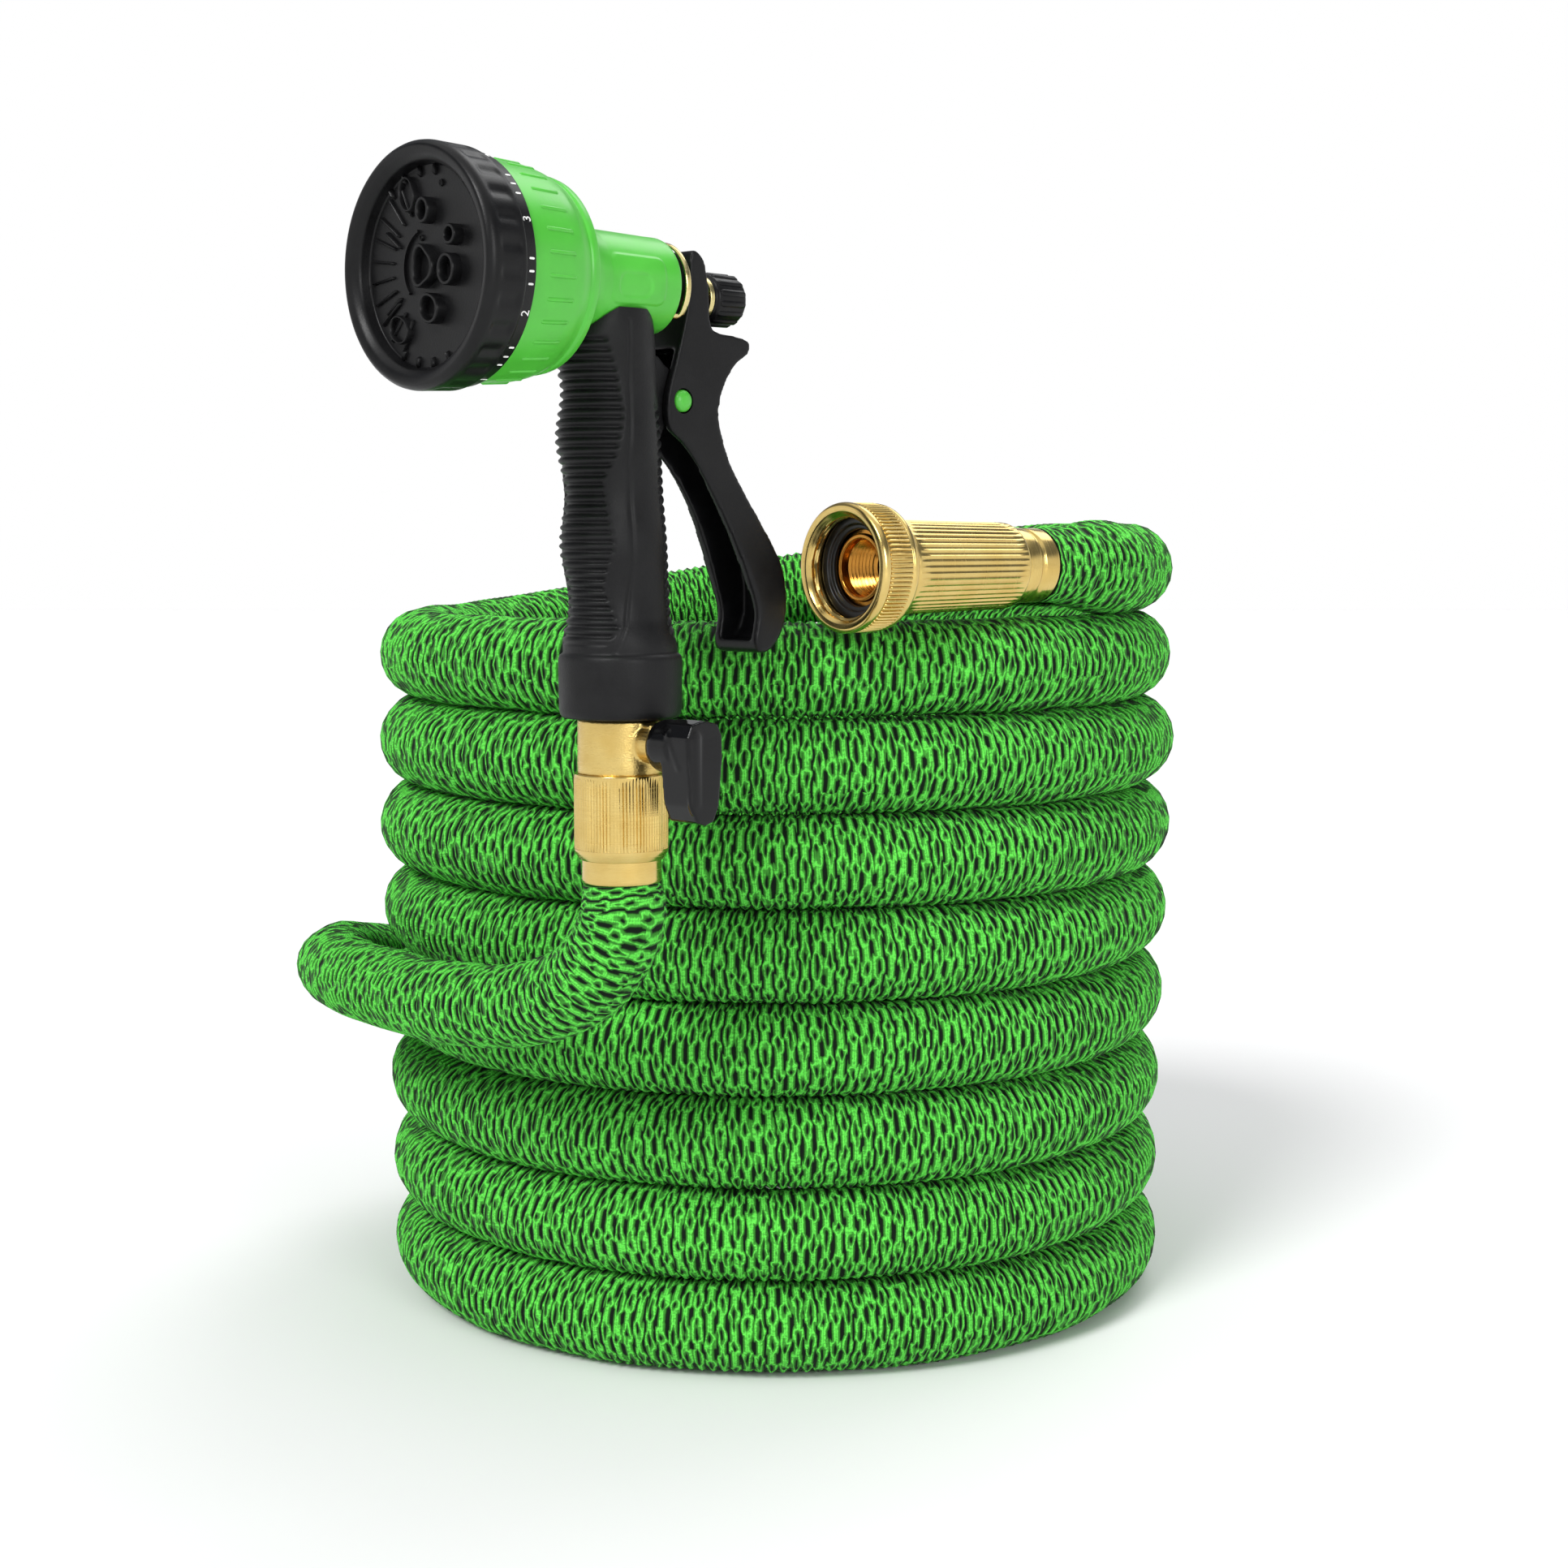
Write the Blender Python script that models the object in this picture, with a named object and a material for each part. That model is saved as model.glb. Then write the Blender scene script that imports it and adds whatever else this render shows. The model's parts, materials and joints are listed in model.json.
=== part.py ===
"""Garden hose with fabric sleeve, wound in a round stack, with its fittings.

The stack stands on the floor. One end has a swivel nut for the tap. The other
end has a shut-off valve and a spray nozzle, which stands in front of the stack.
Sizes are metres, +Z is up, and the origin is the middle of the footprint.
"""
import math

import bmesh
import bpy
from mathutils import Matrix, Vector

GAP = 0.0003                    # clearance between pieces that touch

# hose
HOSE_D = 0.025                  # outer diameter of the sleeve, relaxed
TURNS = 8                       # turns in the stack
COIL_R = 0.1054                 # radius of the stack's centreline
CREASE_INSET = 0.003            # half width left in the solid between two turns
LOOSE_D = 0.021                 # sleeve at the nozzle, where it is drawn thin
STRAIGHT = 0.010                # straight length where the hose leaves a fitting
HOSE_R = HOSE_D / 2
COIL_OUT = COIL_R + HOSE_R
STACK_H = TURNS * HOSE_D
SIDE_R = COIL_OUT + HOSE_R + 0.001        # centreline of hose beside the stack

# place of the nozzle, seen from the middle of the stack
NOZZLE_OUT = 0.0381             # its upright axis in front of the stack's outside
NOZZLE_X = -0.0365
NOZZLE_Y = -(COIL_OUT + NOZZLE_OUT)
NOZZLE_TURN = math.radians(225)           # the barrel points left and forwards

# the upright run from the loose hose to the barrel's axis, bottom to top
FERRULE_LOW = 0.1397            # where the loose hose enters its ferrule
FERRULE_SHOWN = 0.0057
FERRULE_R = 0.0096
SLEEVE_H = 0.021
SLEEVE_R = 0.0113
VALVE_H = 0.013
VALVE_R = 0.0104
COLLAR_H = 0.0145
COLLAR_R = 0.01465
AXIS_RISE = 0.1018              # barrel's axis above the foot of the collar
SLEEVE_LOW = FERRULE_LOW + FERRULE_SHOWN
VALVE_LOW = SLEEVE_LOW + SLEEVE_H
COLLAR_LOW = VALVE_LOW + VALVE_H
COLLAR_TOP = COLLAR_LOW + COLLAR_H
AXIS_Z = COLLAR_LOW + AXIS_RISE

# valve: tail in the sleeve, stub in the grip, spindle and lever at its side
TAIL_R = 0.0096
STUB_R = 0.009
STUB_H = 0.008
STEM_Z = VALVE_LOW + 0.0071
BOSS_R = 0.0042
BOSS_END = 0.0144
SPINDLE_R = 0.002
SPINDLE_L = 0.0071
SPINDLE_END = BOSS_END + SPINDLE_L
HUB_R = 0.006
HUB_L = 0.0062
LEVER_L = 0.0176
LEVER_TOP = 0.0063
LEVER_W = 0.0112
LEVER_T = 0.0096
LEVER_LAP = 0.001               # how far the paddle laps over the hub

# nozzle barrel, along local +X
BARREL_R = 0.0114
BARREL_REAR = -0.0105
NECK_STEP = 0.0006              # the barrel widens by this towards its shoulder
SHOULDER_X = 0.017
SHOULDER_STEP = 0.0012
BELL_R = 0.025
BELL_FRONT = 0.0452
SPIGOT_R = 0.022
SPIGOT_L = 0.006

# spray dial
DIAL_R = 0.027
DIAL_L = 0.0135
DIAL_FACE_DEPTH = 0.004
DIAL_CORNER = 0.0015            # how far its rounded front corner draws in
OUTLET_H = 0.0022
# spray outlets in the face, as (to its right, up, radius), the middle one first
OUTLETS = [
    (0.0, 0.0, 0.0042), (0.0006, 0.0120, 0.0028), (0.0100, 0.0061, 0.0023),
    (0.0087, -0.0012, 0.0032), (0.0023, -0.0092, 0.0034),
]

# grip
GRIP_DEPTH = 0.0255
GRIP_WIDTH = 0.0225
GRIP_TOP = AXIS_Z - 0.0067
GRIP_LEAN = 0.0045              # how far the grip's top stands forward
GRIP_TAPER = 0.006              # height over which the round collar turns oval
FINGER_WAVE = 0.0009
LUG_HALF = 0.0048
LUG_R = 0.0048

# trigger and its pin
PIN_X = -0.0142
PIN_Z = AXIS_Z - 0.0269
PIN_R = 0.0026
PIN_PROUD = 0.0006
CHEEK = 0.0022
TRIGGER_HALF = LUG_HALF + GAP + CHEEK

# plunger, which the trigger's arm pushes back by its washer
PLUNGER_Z = AXIS_Z - 0.0018
ROD_R = 0.0022
ROD_FRONT = 0.012
BORE_END = 0.0145
WASHER_R = 0.0056
WASHER_X = PIN_X - 0.0106
WASHER_L = 0.0015
KNOB_R = 0.0064
KNOB_L = 0.0104
KNOB_SEAT = 0.0025              # how deep the rod sits short of the knob's back

# spring wire
WIRE_R = 0.0008
WIRE_BOW_R = 0.0102
WIRE_STAND = 0.0027

# inlet fitting, lying on the stack with its mouth left and forwards
MOUTH_OUT = 0.0058                        # how far it hangs out over the stack's edge
INLET_MOUTH = (0.0167, -(COIL_OUT + MOUTH_OUT))       # from the middle of the stack
INLET_RISE = 0.0143                       # its axis above the stack's top
INLET_TURN = math.radians(219.6)          # the way the mouth points
NUT_R = 0.01645
NUT_L = 0.013
NUT_BORE_R = 0.0133
NUT_WALL = 0.0028
FLANGE_L = 0.0022
WASHER_SEAL_L = 0.0026
STEM_R = 0.0093
WATERWAY_R = 0.0055
STEM_L = 0.02
INLET_SLEEVE_R = 0.012
INLET_SLEEVE_L = 0.0435
INLET_COLLAR_R = 0.0098
INLET_COLLAR_L = 0.0118

# footprint: the loose hose is the left and back edge, the dial is the front
DIAL_FRONT = BELL_FRONT + GAP + DIAL_L
FRONT_REACH = NOZZLE_Y - (DIAL_FRONT + DIAL_R - DIAL_CORNER) * math.sqrt(0.5)
STACK_X = (SIDE_R + HOSE_R - COIL_OUT) / 2
STACK_Y = -(SIDE_R + HOSE_R + FRONT_REACH) / 2

# The top turn runs from the inlet collar onto the stack's circle, and the loose
# hose from the floor behind the stack round its left side and up into the ferrule.
# Points are (degrees round the stack, how far out, height): out from COIL_R and
# above the stack for the top turn, out from SIDE_R and above the floor otherwise.
TOP_START = (-33.2, 0.0014, 0.0136)
TOP_FIRST, TOP_LAST = -24, 120
LOOSE_ROUTE = [
    (50, 0.0001, 0.0128), (65, 0.0001, 0.0150), (80, 0.0001, 0.0210),
    (95, 0.0001, 0.0310), (110, 0.0001, 0.0430), (125, 0.0001, 0.0560),
    (140, 0.0001, 0.0690), (155, 0.0001, 0.0800), (170, 0.0001, 0.0890),
    (185, 0.0001, 0.0945), (198, 0.0, 0.0975), (210.8, 0.0, 0.0988),
    (222.4, 0.0022, 0.1000), (233.4, 0.0087, 0.1015), (243.0, 0.0151, 0.1045),
    (249.7, 0.0214, 0.1095), (254.05, 0.0258, 0.1175),
]

COIL_SIDES, FINE, MIDDLE, COARSE = 40, 32, 24, 16      # sides of round pieces


def clear_scene():
    for thing in list(bpy.data.objects):
        bpy.data.objects.remove(thing, do_unlink=True)


def material(name, colour, roughness, metallic=0.0):
    mat = bpy.data.materials.new(name)
    mat.use_nodes = True
    shader = mat.node_tree.nodes["Principled BSDF"]
    shader.inputs["Base Color"].default_value = (*colour, 1.0)
    shader.inputs["Roughness"].default_value = roughness
    shader.inputs["Metallic"].default_value = metallic
    return mat


def frame_empty(name, place, rotation, parent=None):
    empty = bpy.data.objects.new(name, None)
    bpy.context.collection.objects.link(empty)
    empty.parent = parent
    empty.matrix_basis = Matrix.Translation(place) @ rotation.to_4x4()
    return empty


def add_object(name, mesh, parent, mat, place=(0, 0, 0), rotation=None):
    obj = bpy.data.objects.new(name, mesh)
    bpy.context.collection.objects.link(obj)
    obj.parent = parent
    turn = rotation if rotation is not None else Matrix.Identity(3)
    obj.matrix_basis = Matrix.Translation(place) @ turn.to_4x4()
    if mat is not None:
        obj.data.materials.append(mat)
        obj.data.shade_smooth()
        obj.data.set_sharp_from_angle(angle=math.radians(35))
    return obj


def mesh_from(bm, name):
    bmesh.ops.remove_doubles(bm, verts=bm.verts, dist=1e-6)
    bmesh.ops.recalc_face_normals(bm, faces=bm.faces)
    mesh = bpy.data.meshes.new(name)
    bm.to_mesh(mesh)
    bm.free()
    return mesh


def turned_mesh(name, profile, steps=FINE):
    """Spin a profile of (radius, height) points round Z. Ends on the axis close it."""
    bm = bmesh.new()
    verts = [bm.verts.new((radius, 0.0, height)) for radius, height in profile]
    pairs = list(zip(verts, verts[1:]))
    if profile[0][0] > 0 or profile[-1][0] > 0:
        pairs.append((verts[-1], verts[0]))
    edges = [bm.edges.new(pair) for pair in pairs]
    bmesh.ops.spin(bm, geom=verts + edges, cent=(0, 0, 0), axis=(0, 0, 1),
                   angle=2 * math.pi, steps=steps, use_merge=True)
    return mesh_from(bm, name)


def cylinder_mesh(name, radius, low, high, steps=COARSE):
    return turned_mesh(name, [(0, low), (radius, low), (radius, high), (0, high)], steps)


def outline_mesh(name, outline, half_width):
    """Plate with its outline in the XZ plane; half_width(z) is its reach in Y."""
    bm = bmesh.new()
    sides = []
    for side in (1, -1):
        sides.append([bm.verts.new((x, side * half_width(z), z)) for x, z in outline])
    for ring in sides:
        bm.faces.new(ring)
    count = len(outline)
    for i in range(count):
        j = (i + 1) % count
        bm.faces.new((sides[0][i], sides[0][j], sides[1][j], sides[1][i]))
    bmesh.ops.triangulate(bm, faces=[f for f in bm.faces if len(f.verts) > 4])
    return mesh_from(bm, name)


def lofted_mesh(name, rings):
    """Closed body through rings that have the same number of points."""
    bm = bmesh.new()
    loops = [[bm.verts.new(point) for point in ring] for ring in rings]
    count = len(rings[0])
    for low, high in zip(loops, loops[1:]):
        for i in range(count):
            j = (i + 1) % count
            bm.faces.new((low[i], low[j], high[j], high[i]))
    bm.faces.new(loops[0])
    bm.faces.new(loops[-1])
    return mesh_from(bm, name)


def change(obj, tool, operation):
    """Cut a tool out of an object, or join it on, and leave the tool as a guide."""
    tool.hide_render = True
    tool.display_type = "WIRE"
    modifier = obj.modifiers.new(tool.name, "BOOLEAN")
    modifier.object = tool
    modifier.operation = operation
    modifier.solver = "EXACT"


def cut(obj, name, mesh, place=(0, 0, 0), rotation=None):
    change(obj, add_object(name, mesh, obj.parent, None, place, rotation), "DIFFERENCE")


def join(obj, name, mesh, place=(0, 0, 0), rotation=None):
    change(obj, add_object(name, mesh, obj.parent, None, place, rotation), "UNION")


ALONG_X = Matrix.Rotation(math.pi / 2, 3, "Y")      # local +Z becomes +X
ALONG_Y = Matrix.Rotation(-math.pi / 2, 3, "X")     # local +Z becomes +Y


def smooth_points(route, spacing):
    """Points on a smooth curve through the route's own points."""
    points = [Vector(p) for p in route]
    padded = [2 * points[0] - points[1]] + points + [2 * points[-1] - points[-2]]
    result = [points[0]]
    for before, start, end, after in zip(padded, padded[1:], padded[2:], padded[3:]):
        steps = max(1, round((end - start).length / spacing))
        for step in range(1, steps + 1):
            t = step / steps
            result.append(0.5 * ((2 * start) + (end - before) * t
                                 + (2 * before - 5 * start + 4 * end - after) * t ** 2
                                 + (3 * start - before - 3 * end + after) * t ** 3))
    return result


def tube(name, points, radii, parent, mat, resolution=4):
    """Plain tube through points, with a radius at each point and closed ends."""
    curve = bpy.data.curves.new(name, "CURVE")
    curve.dimensions = "3D"
    curve.bevel_depth = 1.0
    curve.bevel_resolution = resolution
    curve.use_fill_caps = True
    spline = curve.splines.new("POLY")
    spline.points.add(len(points) - 1)
    for knot, point, radius in zip(spline.points, points, radii):
        knot.co = (*point, 1.0)
        knot.radius = radius
    obj = bpy.data.objects.new(name, curve)
    bpy.context.collection.objects.link(obj)
    obj.parent = parent
    curve.materials.append(mat)
    return obj


def rounded(value, low, high):
    """Share from 0 to 1 of the way from low to high, eased at both ends."""
    share = min(max((value - low) / (high - low), 0.0), 1.0)
    return share * share * (3 - 2 * share)


def hose_coil(stack, mat):
    """The stack of turns as one turned solid: scallops outside, shallower inside."""
    outer_arc, inner_arc = 4, 2
    reach = HOSE_R - CREASE_INSET
    profile = []
    for turn in range(TURNS):
        middle = STACK_H - (turn + 0.5) * HOSE_D
        for step in range(outer_arc + (turn == TURNS - 1)):
            angle = math.pi / 2 - math.pi * step / outer_arc
            profile.append((COIL_R + CREASE_INSET + reach * math.cos(angle),
                            middle + HOSE_R * math.sin(angle)))
    for turn in reversed(range(TURNS)):
        middle = STACK_H - (turn + 0.5) * HOSE_D
        for step in range(inner_arc + (turn == 0)):
            angle = -math.pi / 2 + math.pi * step / inner_arc
            profile.append((COIL_R - CREASE_INSET - reach * math.cos(angle),
                            middle + HOSE_R * math.sin(angle)))
    return add_object("hose_coil", turned_mesh("hose_coil", profile, COIL_SIDES), stack, mat)


def round_stack(degrees, radius, height):
    angle = math.radians(degrees)
    return Vector((radius * math.cos(angle), radius * math.sin(angle), height))


def hose_ends(stack, inlet, mat):
    """The two stretches that leave the stack, each a plain tube."""
    collar_end = INLET_END + GAP
    start = inlet.matrix_basis @ Vector((0, 0, -collar_end))
    beyond = inlet.matrix_basis @ Vector((0, 0, -collar_end - STRAIGHT))
    lie = STACK_H + HOSE_R + GAP
    count = 8
    arc = [TOP_FIRST + (TOP_LAST - TOP_FIRST) * i / (count - 1) for i in range(count)]
    degrees, out, height = TOP_START
    route = [start, beyond, round_stack(degrees, COIL_R + out, STACK_H + height)]
    route += [round_stack(degrees, COIL_R, lie) for degrees in arc]
    points = smooth_points(route, 2 * HOSE_D)
    tube("hose_top_turn", points, [HOSE_R] * len(points), stack, mat)

    end = Vector((NOZZLE_X, NOZZLE_Y, FERRULE_LOW - GAP))
    straight = Vector((0, 0, -STRAIGHT))
    route = [round_stack(degrees, SIDE_R + out, height) for degrees, out, height in LOOSE_ROUTE]
    points = smooth_points(route + [end + straight, end], 1.6 * HOSE_D)
    last = len(points) - 1
    radii = [HOSE_R + (LOOSE_D / 2 - HOSE_R) * rounded(i / last, 0.45, 0.8)
             for i in range(len(points))]
    tube("hose_loose_end", points, radii, stack, mat)


SEAL_AT = NUT_L - NUT_WALL - GAP - FLANGE_L - GAP      # back of the rubber seal
INLET_END = NUT_L + GAP + INLET_SLEEVE_L + GAP + INLET_COLLAR_L


def inlet_fitting(inlet, brass, rubber):
    """Swivel nut, rubber seal, stem, long sleeve and collar, on local -Z."""
    bevel = 0.0012
    nut = [(NUT_BORE_R + 0.0008, 0), (NUT_R - bevel, 0), (NUT_R, -bevel),
           (NUT_R, bevel - NUT_L), (NUT_R - bevel, -NUT_L),
           (STEM_R + GAP, -NUT_L), (STEM_R + GAP, NUT_WALL - NUT_L),
           (NUT_BORE_R, NUT_WALL - NUT_L), (NUT_BORE_R, -0.0008)]
    add_object("swivel_nut", turned_mesh("swivel_nut", nut), inlet, brass)

    seal_front = SEAL_AT - WASHER_SEAL_L
    seal = [(WATERWAY_R + 0.002, -seal_front), (NUT_BORE_R - GAP, -seal_front),
            (NUT_BORE_R - GAP, -SEAL_AT), (WATERWAY_R + 0.002, -SEAL_AT)]
    add_object("inlet_seal", turned_mesh("inlet_seal", seal, MIDDLE), inlet, rubber)

    flange_at = SEAL_AT + GAP
    stem_end = NUT_L + STEM_L
    stem = [(WATERWAY_R, -flange_at), (NUT_BORE_R - GAP, -flange_at),
            (NUT_BORE_R - GAP, -flange_at - FLANGE_L), (STEM_R, -flange_at - FLANGE_L),
            (STEM_R, -stem_end), (WATERWAY_R, -stem_end)]
    add_object("inlet_stem", turned_mesh("inlet_stem", stem, MIDDLE), inlet, brass)

    front, back = NUT_L + GAP, NUT_L + GAP + INLET_SLEEVE_L
    slim = INLET_SLEEVE_R - 0.0007
    sleeve = [(STEM_R + GAP, -front), (INLET_SLEEVE_R - bevel, -front),
              (INLET_SLEEVE_R, -front - 2 * bevel), (slim, bevel - back),
              (slim - bevel, -back), (WATERWAY_R, -back),
              (WATERWAY_R, -stem_end - GAP), (STEM_R + GAP, -stem_end - GAP)]
    add_object("inlet_sleeve", turned_mesh("inlet_sleeve", sleeve), inlet, brass)

    front, back = back + GAP, INLET_END
    groove, half = 0.0008, 0.0009
    middle = (front + back) / 2
    collar = [(WATERWAY_R, -front), (INLET_COLLAR_R, -front),
              (INLET_COLLAR_R, half - middle), (INLET_COLLAR_R - groove, -middle),
              (INLET_COLLAR_R, -half - middle), (INLET_COLLAR_R, groove - back),
              (INLET_COLLAR_R - groove, -back), (WATERWAY_R, -back)]
    add_object("inlet_collar", turned_mesh("inlet_collar", collar, MIDDLE), inlet, brass)


def outlet_fitting(nozzle, brass):
    """Ferrule and knurled sleeve on the loose end, under the valve."""
    join_at = (SLEEVE_LOW + VALVE_LOW) / 2
    ferrule = [(WATERWAY_R, FERRULE_LOW), (FERRULE_R, FERRULE_LOW),
               (FERRULE_R, join_at - GAP), (WATERWAY_R, join_at - GAP)]
    add_object("outlet_ferrule", turned_mesh("outlet_ferrule", ferrule, MIDDLE),
               nozzle, brass)
    top = VALVE_LOW - GAP
    bore = max(FERRULE_R, TAIL_R) + GAP
    bevel = 0.7 * (SLEEVE_R - bore)
    sleeve = [(bore, SLEEVE_LOW), (SLEEVE_R - bevel, SLEEVE_LOW),
              (SLEEVE_R, SLEEVE_LOW + bevel), (SLEEVE_R, top - bevel / 3),
              (SLEEVE_R - bevel / 3, top), (bore, top)]
    add_object("outlet_sleeve", turned_mesh("outlet_sleeve", sleeve), nozzle, brass)
    return join_at


def valve(nozzle, join_at, brass, black):
    """Valve body with its spindle to the side, and the lever that turns on it."""
    bevel = 0.0008
    root = 0.004                # how deep the boss starts inside the body
    collar_gap = COLLAR_LOW - GAP
    body = [(0, join_at), (TAIL_R, join_at), (TAIL_R, VALVE_LOW), (VALVE_R, VALVE_LOW),
            (VALVE_R, collar_gap - bevel), (VALVE_R - bevel, collar_gap),
            (STUB_R, collar_gap), (STUB_R, COLLAR_LOW + STUB_H), (0, COLLAR_LOW + STUB_H)]
    valve_body = add_object("valve_body", turned_mesh("valve_body", body), nozzle, brass)
    spindle = [(0, root), (BOSS_R, root), (BOSS_R, BOSS_END), (SPINDLE_R, BOSS_END),
               (SPINDLE_R, SPINDLE_END), (0, SPINDLE_END)]
    join(valve_body, "valve_stem_tool", turned_mesh("valve_stem_tool", spindle, COARSE),
         (0, 0, STEM_Z), ALONG_Y)

    hub_start = BOSS_END + GAP
    hub_end = hub_start + HUB_L
    lever_end = hub_end - LEVER_LAP + LEVER_T
    bore_end = SPINDLE_END + GAP
    hub = [(SPINDLE_R + GAP, hub_start), (HUB_R - bevel, hub_start),
           (HUB_R, hub_start + bevel), (HUB_R, hub_end + 0.002), (0, hub_end + 0.002),
           (0, bore_end), (SPINDLE_R + GAP, bore_end)]
    handle = add_object("valve_handle", turned_mesh("valve_handle", hub, MIDDLE),
                        nozzle, black, (0, 0, STEM_Z), ALONG_Y)
    half = LEVER_W / 2
    foot = 0.72 * half
    side = [(-half, -0.004), (-half, 0.0035), (-0.6 * half, LEVER_TOP),
            (0.6 * half, LEVER_TOP), (half, 0.0035), (half, -0.004),
            (foot, 0.004 - LEVER_L), (0.45 * foot, -LEVER_L), (-0.45 * foot, -LEVER_L),
            (-foot, 0.004 - LEVER_L)]
    lever = outline_mesh("lever_tool", side, lambda z: LEVER_T / 2)
    middle = lever_end - LEVER_T / 2
    join(handle, "lever_tool", lever, (0, middle, STEM_Z))
    socket = cylinder_mesh("lever_socket_tool", SPINDLE_R + GAP, hub_start - GAP, bore_end)
    cut(handle, "lever_socket_tool", socket, (0, 0, STEM_Z), ALONG_Y)


def neck_profile(clearance):
    """The barrel's neck up to the foot of its shoulder, as (radius, place) points."""
    neck_r = BARREL_R + NECK_STEP + clearance
    return [(neck_r, SHOULDER_X - 0.002 - clearance),
            (neck_r + SHOULDER_STEP, SHOULDER_X + SHOULDER_STEP - clearance)]


def barrel(nozzle, green):
    """Green barrel: tube, shoulder, ribbed bell and the spigot that holds the dial."""
    bevel = 0.0009
    profile = [(0, BARREL_REAR), (BARREL_R - bevel, BARREL_REAR),
               (BARREL_R, BARREL_REAR + bevel), *neck_profile(0),
               (BARREL_R + 0.0046, SHOULDER_X + 0.0032),
               (BELL_R - 0.0035, SHOULDER_X + 0.0072),
               (BELL_R - 0.0016, SHOULDER_X + 0.0098),
               (BELL_R - 0.0008, SHOULDER_X + 0.0135), (BELL_R, BELL_FRONT),
               (SPIGOT_R, BELL_FRONT), (SPIGOT_R, BELL_FRONT + SPIGOT_L),
               (0, BELL_FRONT + SPIGOT_L)]
    obj = add_object("nozzle_barrel", turned_mesh("nozzle_barrel", profile), nozzle,
                     green, (0, 0, AXIS_Z), ALONG_X)
    bore = cylinder_mesh("plunger_bore_tool", ROD_R + GAP, BARREL_REAR - BARREL_R, BORE_END)
    cut(obj, "plunger_bore_tool", bore, (0, 0, PLUNGER_Z), ALONG_X)


def dial(nozzle, black):
    """Spray dial: a cup that turns on the spigot, with raised outlets in its face."""
    back = BELL_FRONT + GAP
    face = DIAL_FRONT - DIAL_FACE_DEPTH
    seat = BELL_FRONT + SPIGOT_L + GAP
    lip = 0.0021
    profile = [(0, seat), (SPIGOT_R + GAP, seat), (SPIGOT_R + GAP, back),
               (DIAL_R - 0.0012, back), (DIAL_R - 0.0008, back + 0.0030),
               (DIAL_R - 0.0003, back + 0.0034), (DIAL_R, DIAL_FRONT - 1.87 * DIAL_CORNER),
               (DIAL_R - 0.47 * DIAL_CORNER, DIAL_FRONT - 0.53 * DIAL_CORNER),
               (DIAL_R - lip, DIAL_FRONT),
               (DIAL_R - 1.8 * lip, DIAL_FRONT - 0.0006),
               (DIAL_R - 2.4 * lip, face), (0, face)]
    obj = add_object("spray_dial", turned_mesh("spray_dial", profile), nozzle,
                     black, (0, 0, AXIS_Z), ALONG_X)
    for index, (right, up, radius) in enumerate(OUTLETS):
        rim = 0.6 * radius
        outlet = [(0, face - OUTLET_H), (radius, face - OUTLET_H), (radius, face + OUTLET_H),
                  (rim, face + OUTLET_H), (rim, face + 0.3 * OUTLET_H), (0, face + 0.3 * OUTLET_H)]
        mesh = turned_mesh(f"outlet_tool_{index}", outlet, 12)
        join(obj, mesh.name, mesh, (0, right, AXIS_Z + up), ALONG_X)


def grip(nozzle, black):
    """Rubber grip on its round collar, with finger waves in front and a pin lug."""
    sides = 24
    finger_waves = 3.2
    bevel = 0.0012
    waist = COLLAR_TOP + GRIP_TAPER
    heights = [COLLAR_LOW, COLLAR_LOW + bevel, COLLAR_TOP - bevel,
               COLLAR_TOP + GRIP_TAPER / 3]
    waves = 12
    heights += [waist + (GRIP_TOP - waist) * i / waves for i in range(waves + 1)]
    rings = []
    for height in heights:
        lift = rounded(height, COLLAR_TOP - bevel, waist + 0.6 * GRIP_TAPER)
        share = max(0.0, (height - waist) / (GRIP_TOP - waist))
        depth = COLLAR_R + (GRIP_DEPTH / 2 - COLLAR_R) * lift
        width = COLLAR_R + (GRIP_WIDTH / 2 - COLLAR_R) * lift
        if height == COLLAR_LOW:
            depth = width = COLLAR_R - bevel
        middle = GRIP_LEAN * share
        wave = FINGER_WAVE * math.cos(2 * math.pi * finger_waves * share) * lift
        ring = []
        for side in range(sides):
            angle = 2 * math.pi * side / sides
            forward = max(math.cos(angle), 0.0)
            ring.append((middle + (depth + wave * forward) * math.cos(angle),
                         width * math.sin(angle), height))
        rings.append(ring)
    obj = add_object("nozzle_grip", lofted_mesh("nozzle_grip", rings), nozzle, black)

    inside = GRIP_DEPTH / 2 - 0.0108
    lug = [(inside, PIN_Z - 0.016), (PIN_X + 0.006, PIN_Z - 0.010)]
    for step in range(7):
        angle = -math.pi / 3 - step * (math.pi * 0.85) / 6
        lug.append((PIN_X + LUG_R * math.cos(angle), PIN_Z + LUG_R * math.sin(angle)))
    lug += [(PIN_X + 0.0057, PIN_Z + 0.0105), (inside, PIN_Z + 0.0125)]
    join(obj, "lug_tool", outline_mesh("lug_tool", lug, lambda z: LUG_HALF))

    socket = cylinder_mesh("grip_socket_tool", STUB_R + GAP, COLLAR_LOW - bevel,
                           COLLAR_LOW + STUB_H + GAP, MIDDLE)
    cut(obj, "grip_socket_tool", socket)
    behind = BARREL_REAR - BARREL_R
    neck = neck_profile(GAP)
    foot = neck[-1][1]
    saddle = [(0, behind), (BARREL_R + GAP, behind), (BARREL_R + GAP, BARREL_REAR), *neck,
              (BELL_R, foot), (BELL_R, foot + BARREL_R), (0, foot + BARREL_R)]
    cut(obj, "saddle_tool", turned_mesh("saddle_tool", saddle, FINE), (0, 0, AXIS_Z), ALONG_X)
    hole = cylinder_mesh("lug_hole_tool", PIN_R + GAP, -2 * LUG_HALF, 2 * LUG_HALF)
    cut(obj, "lug_hole_tool", hole, (PIN_X, 0, PIN_Z), ALONG_Y)


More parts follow.
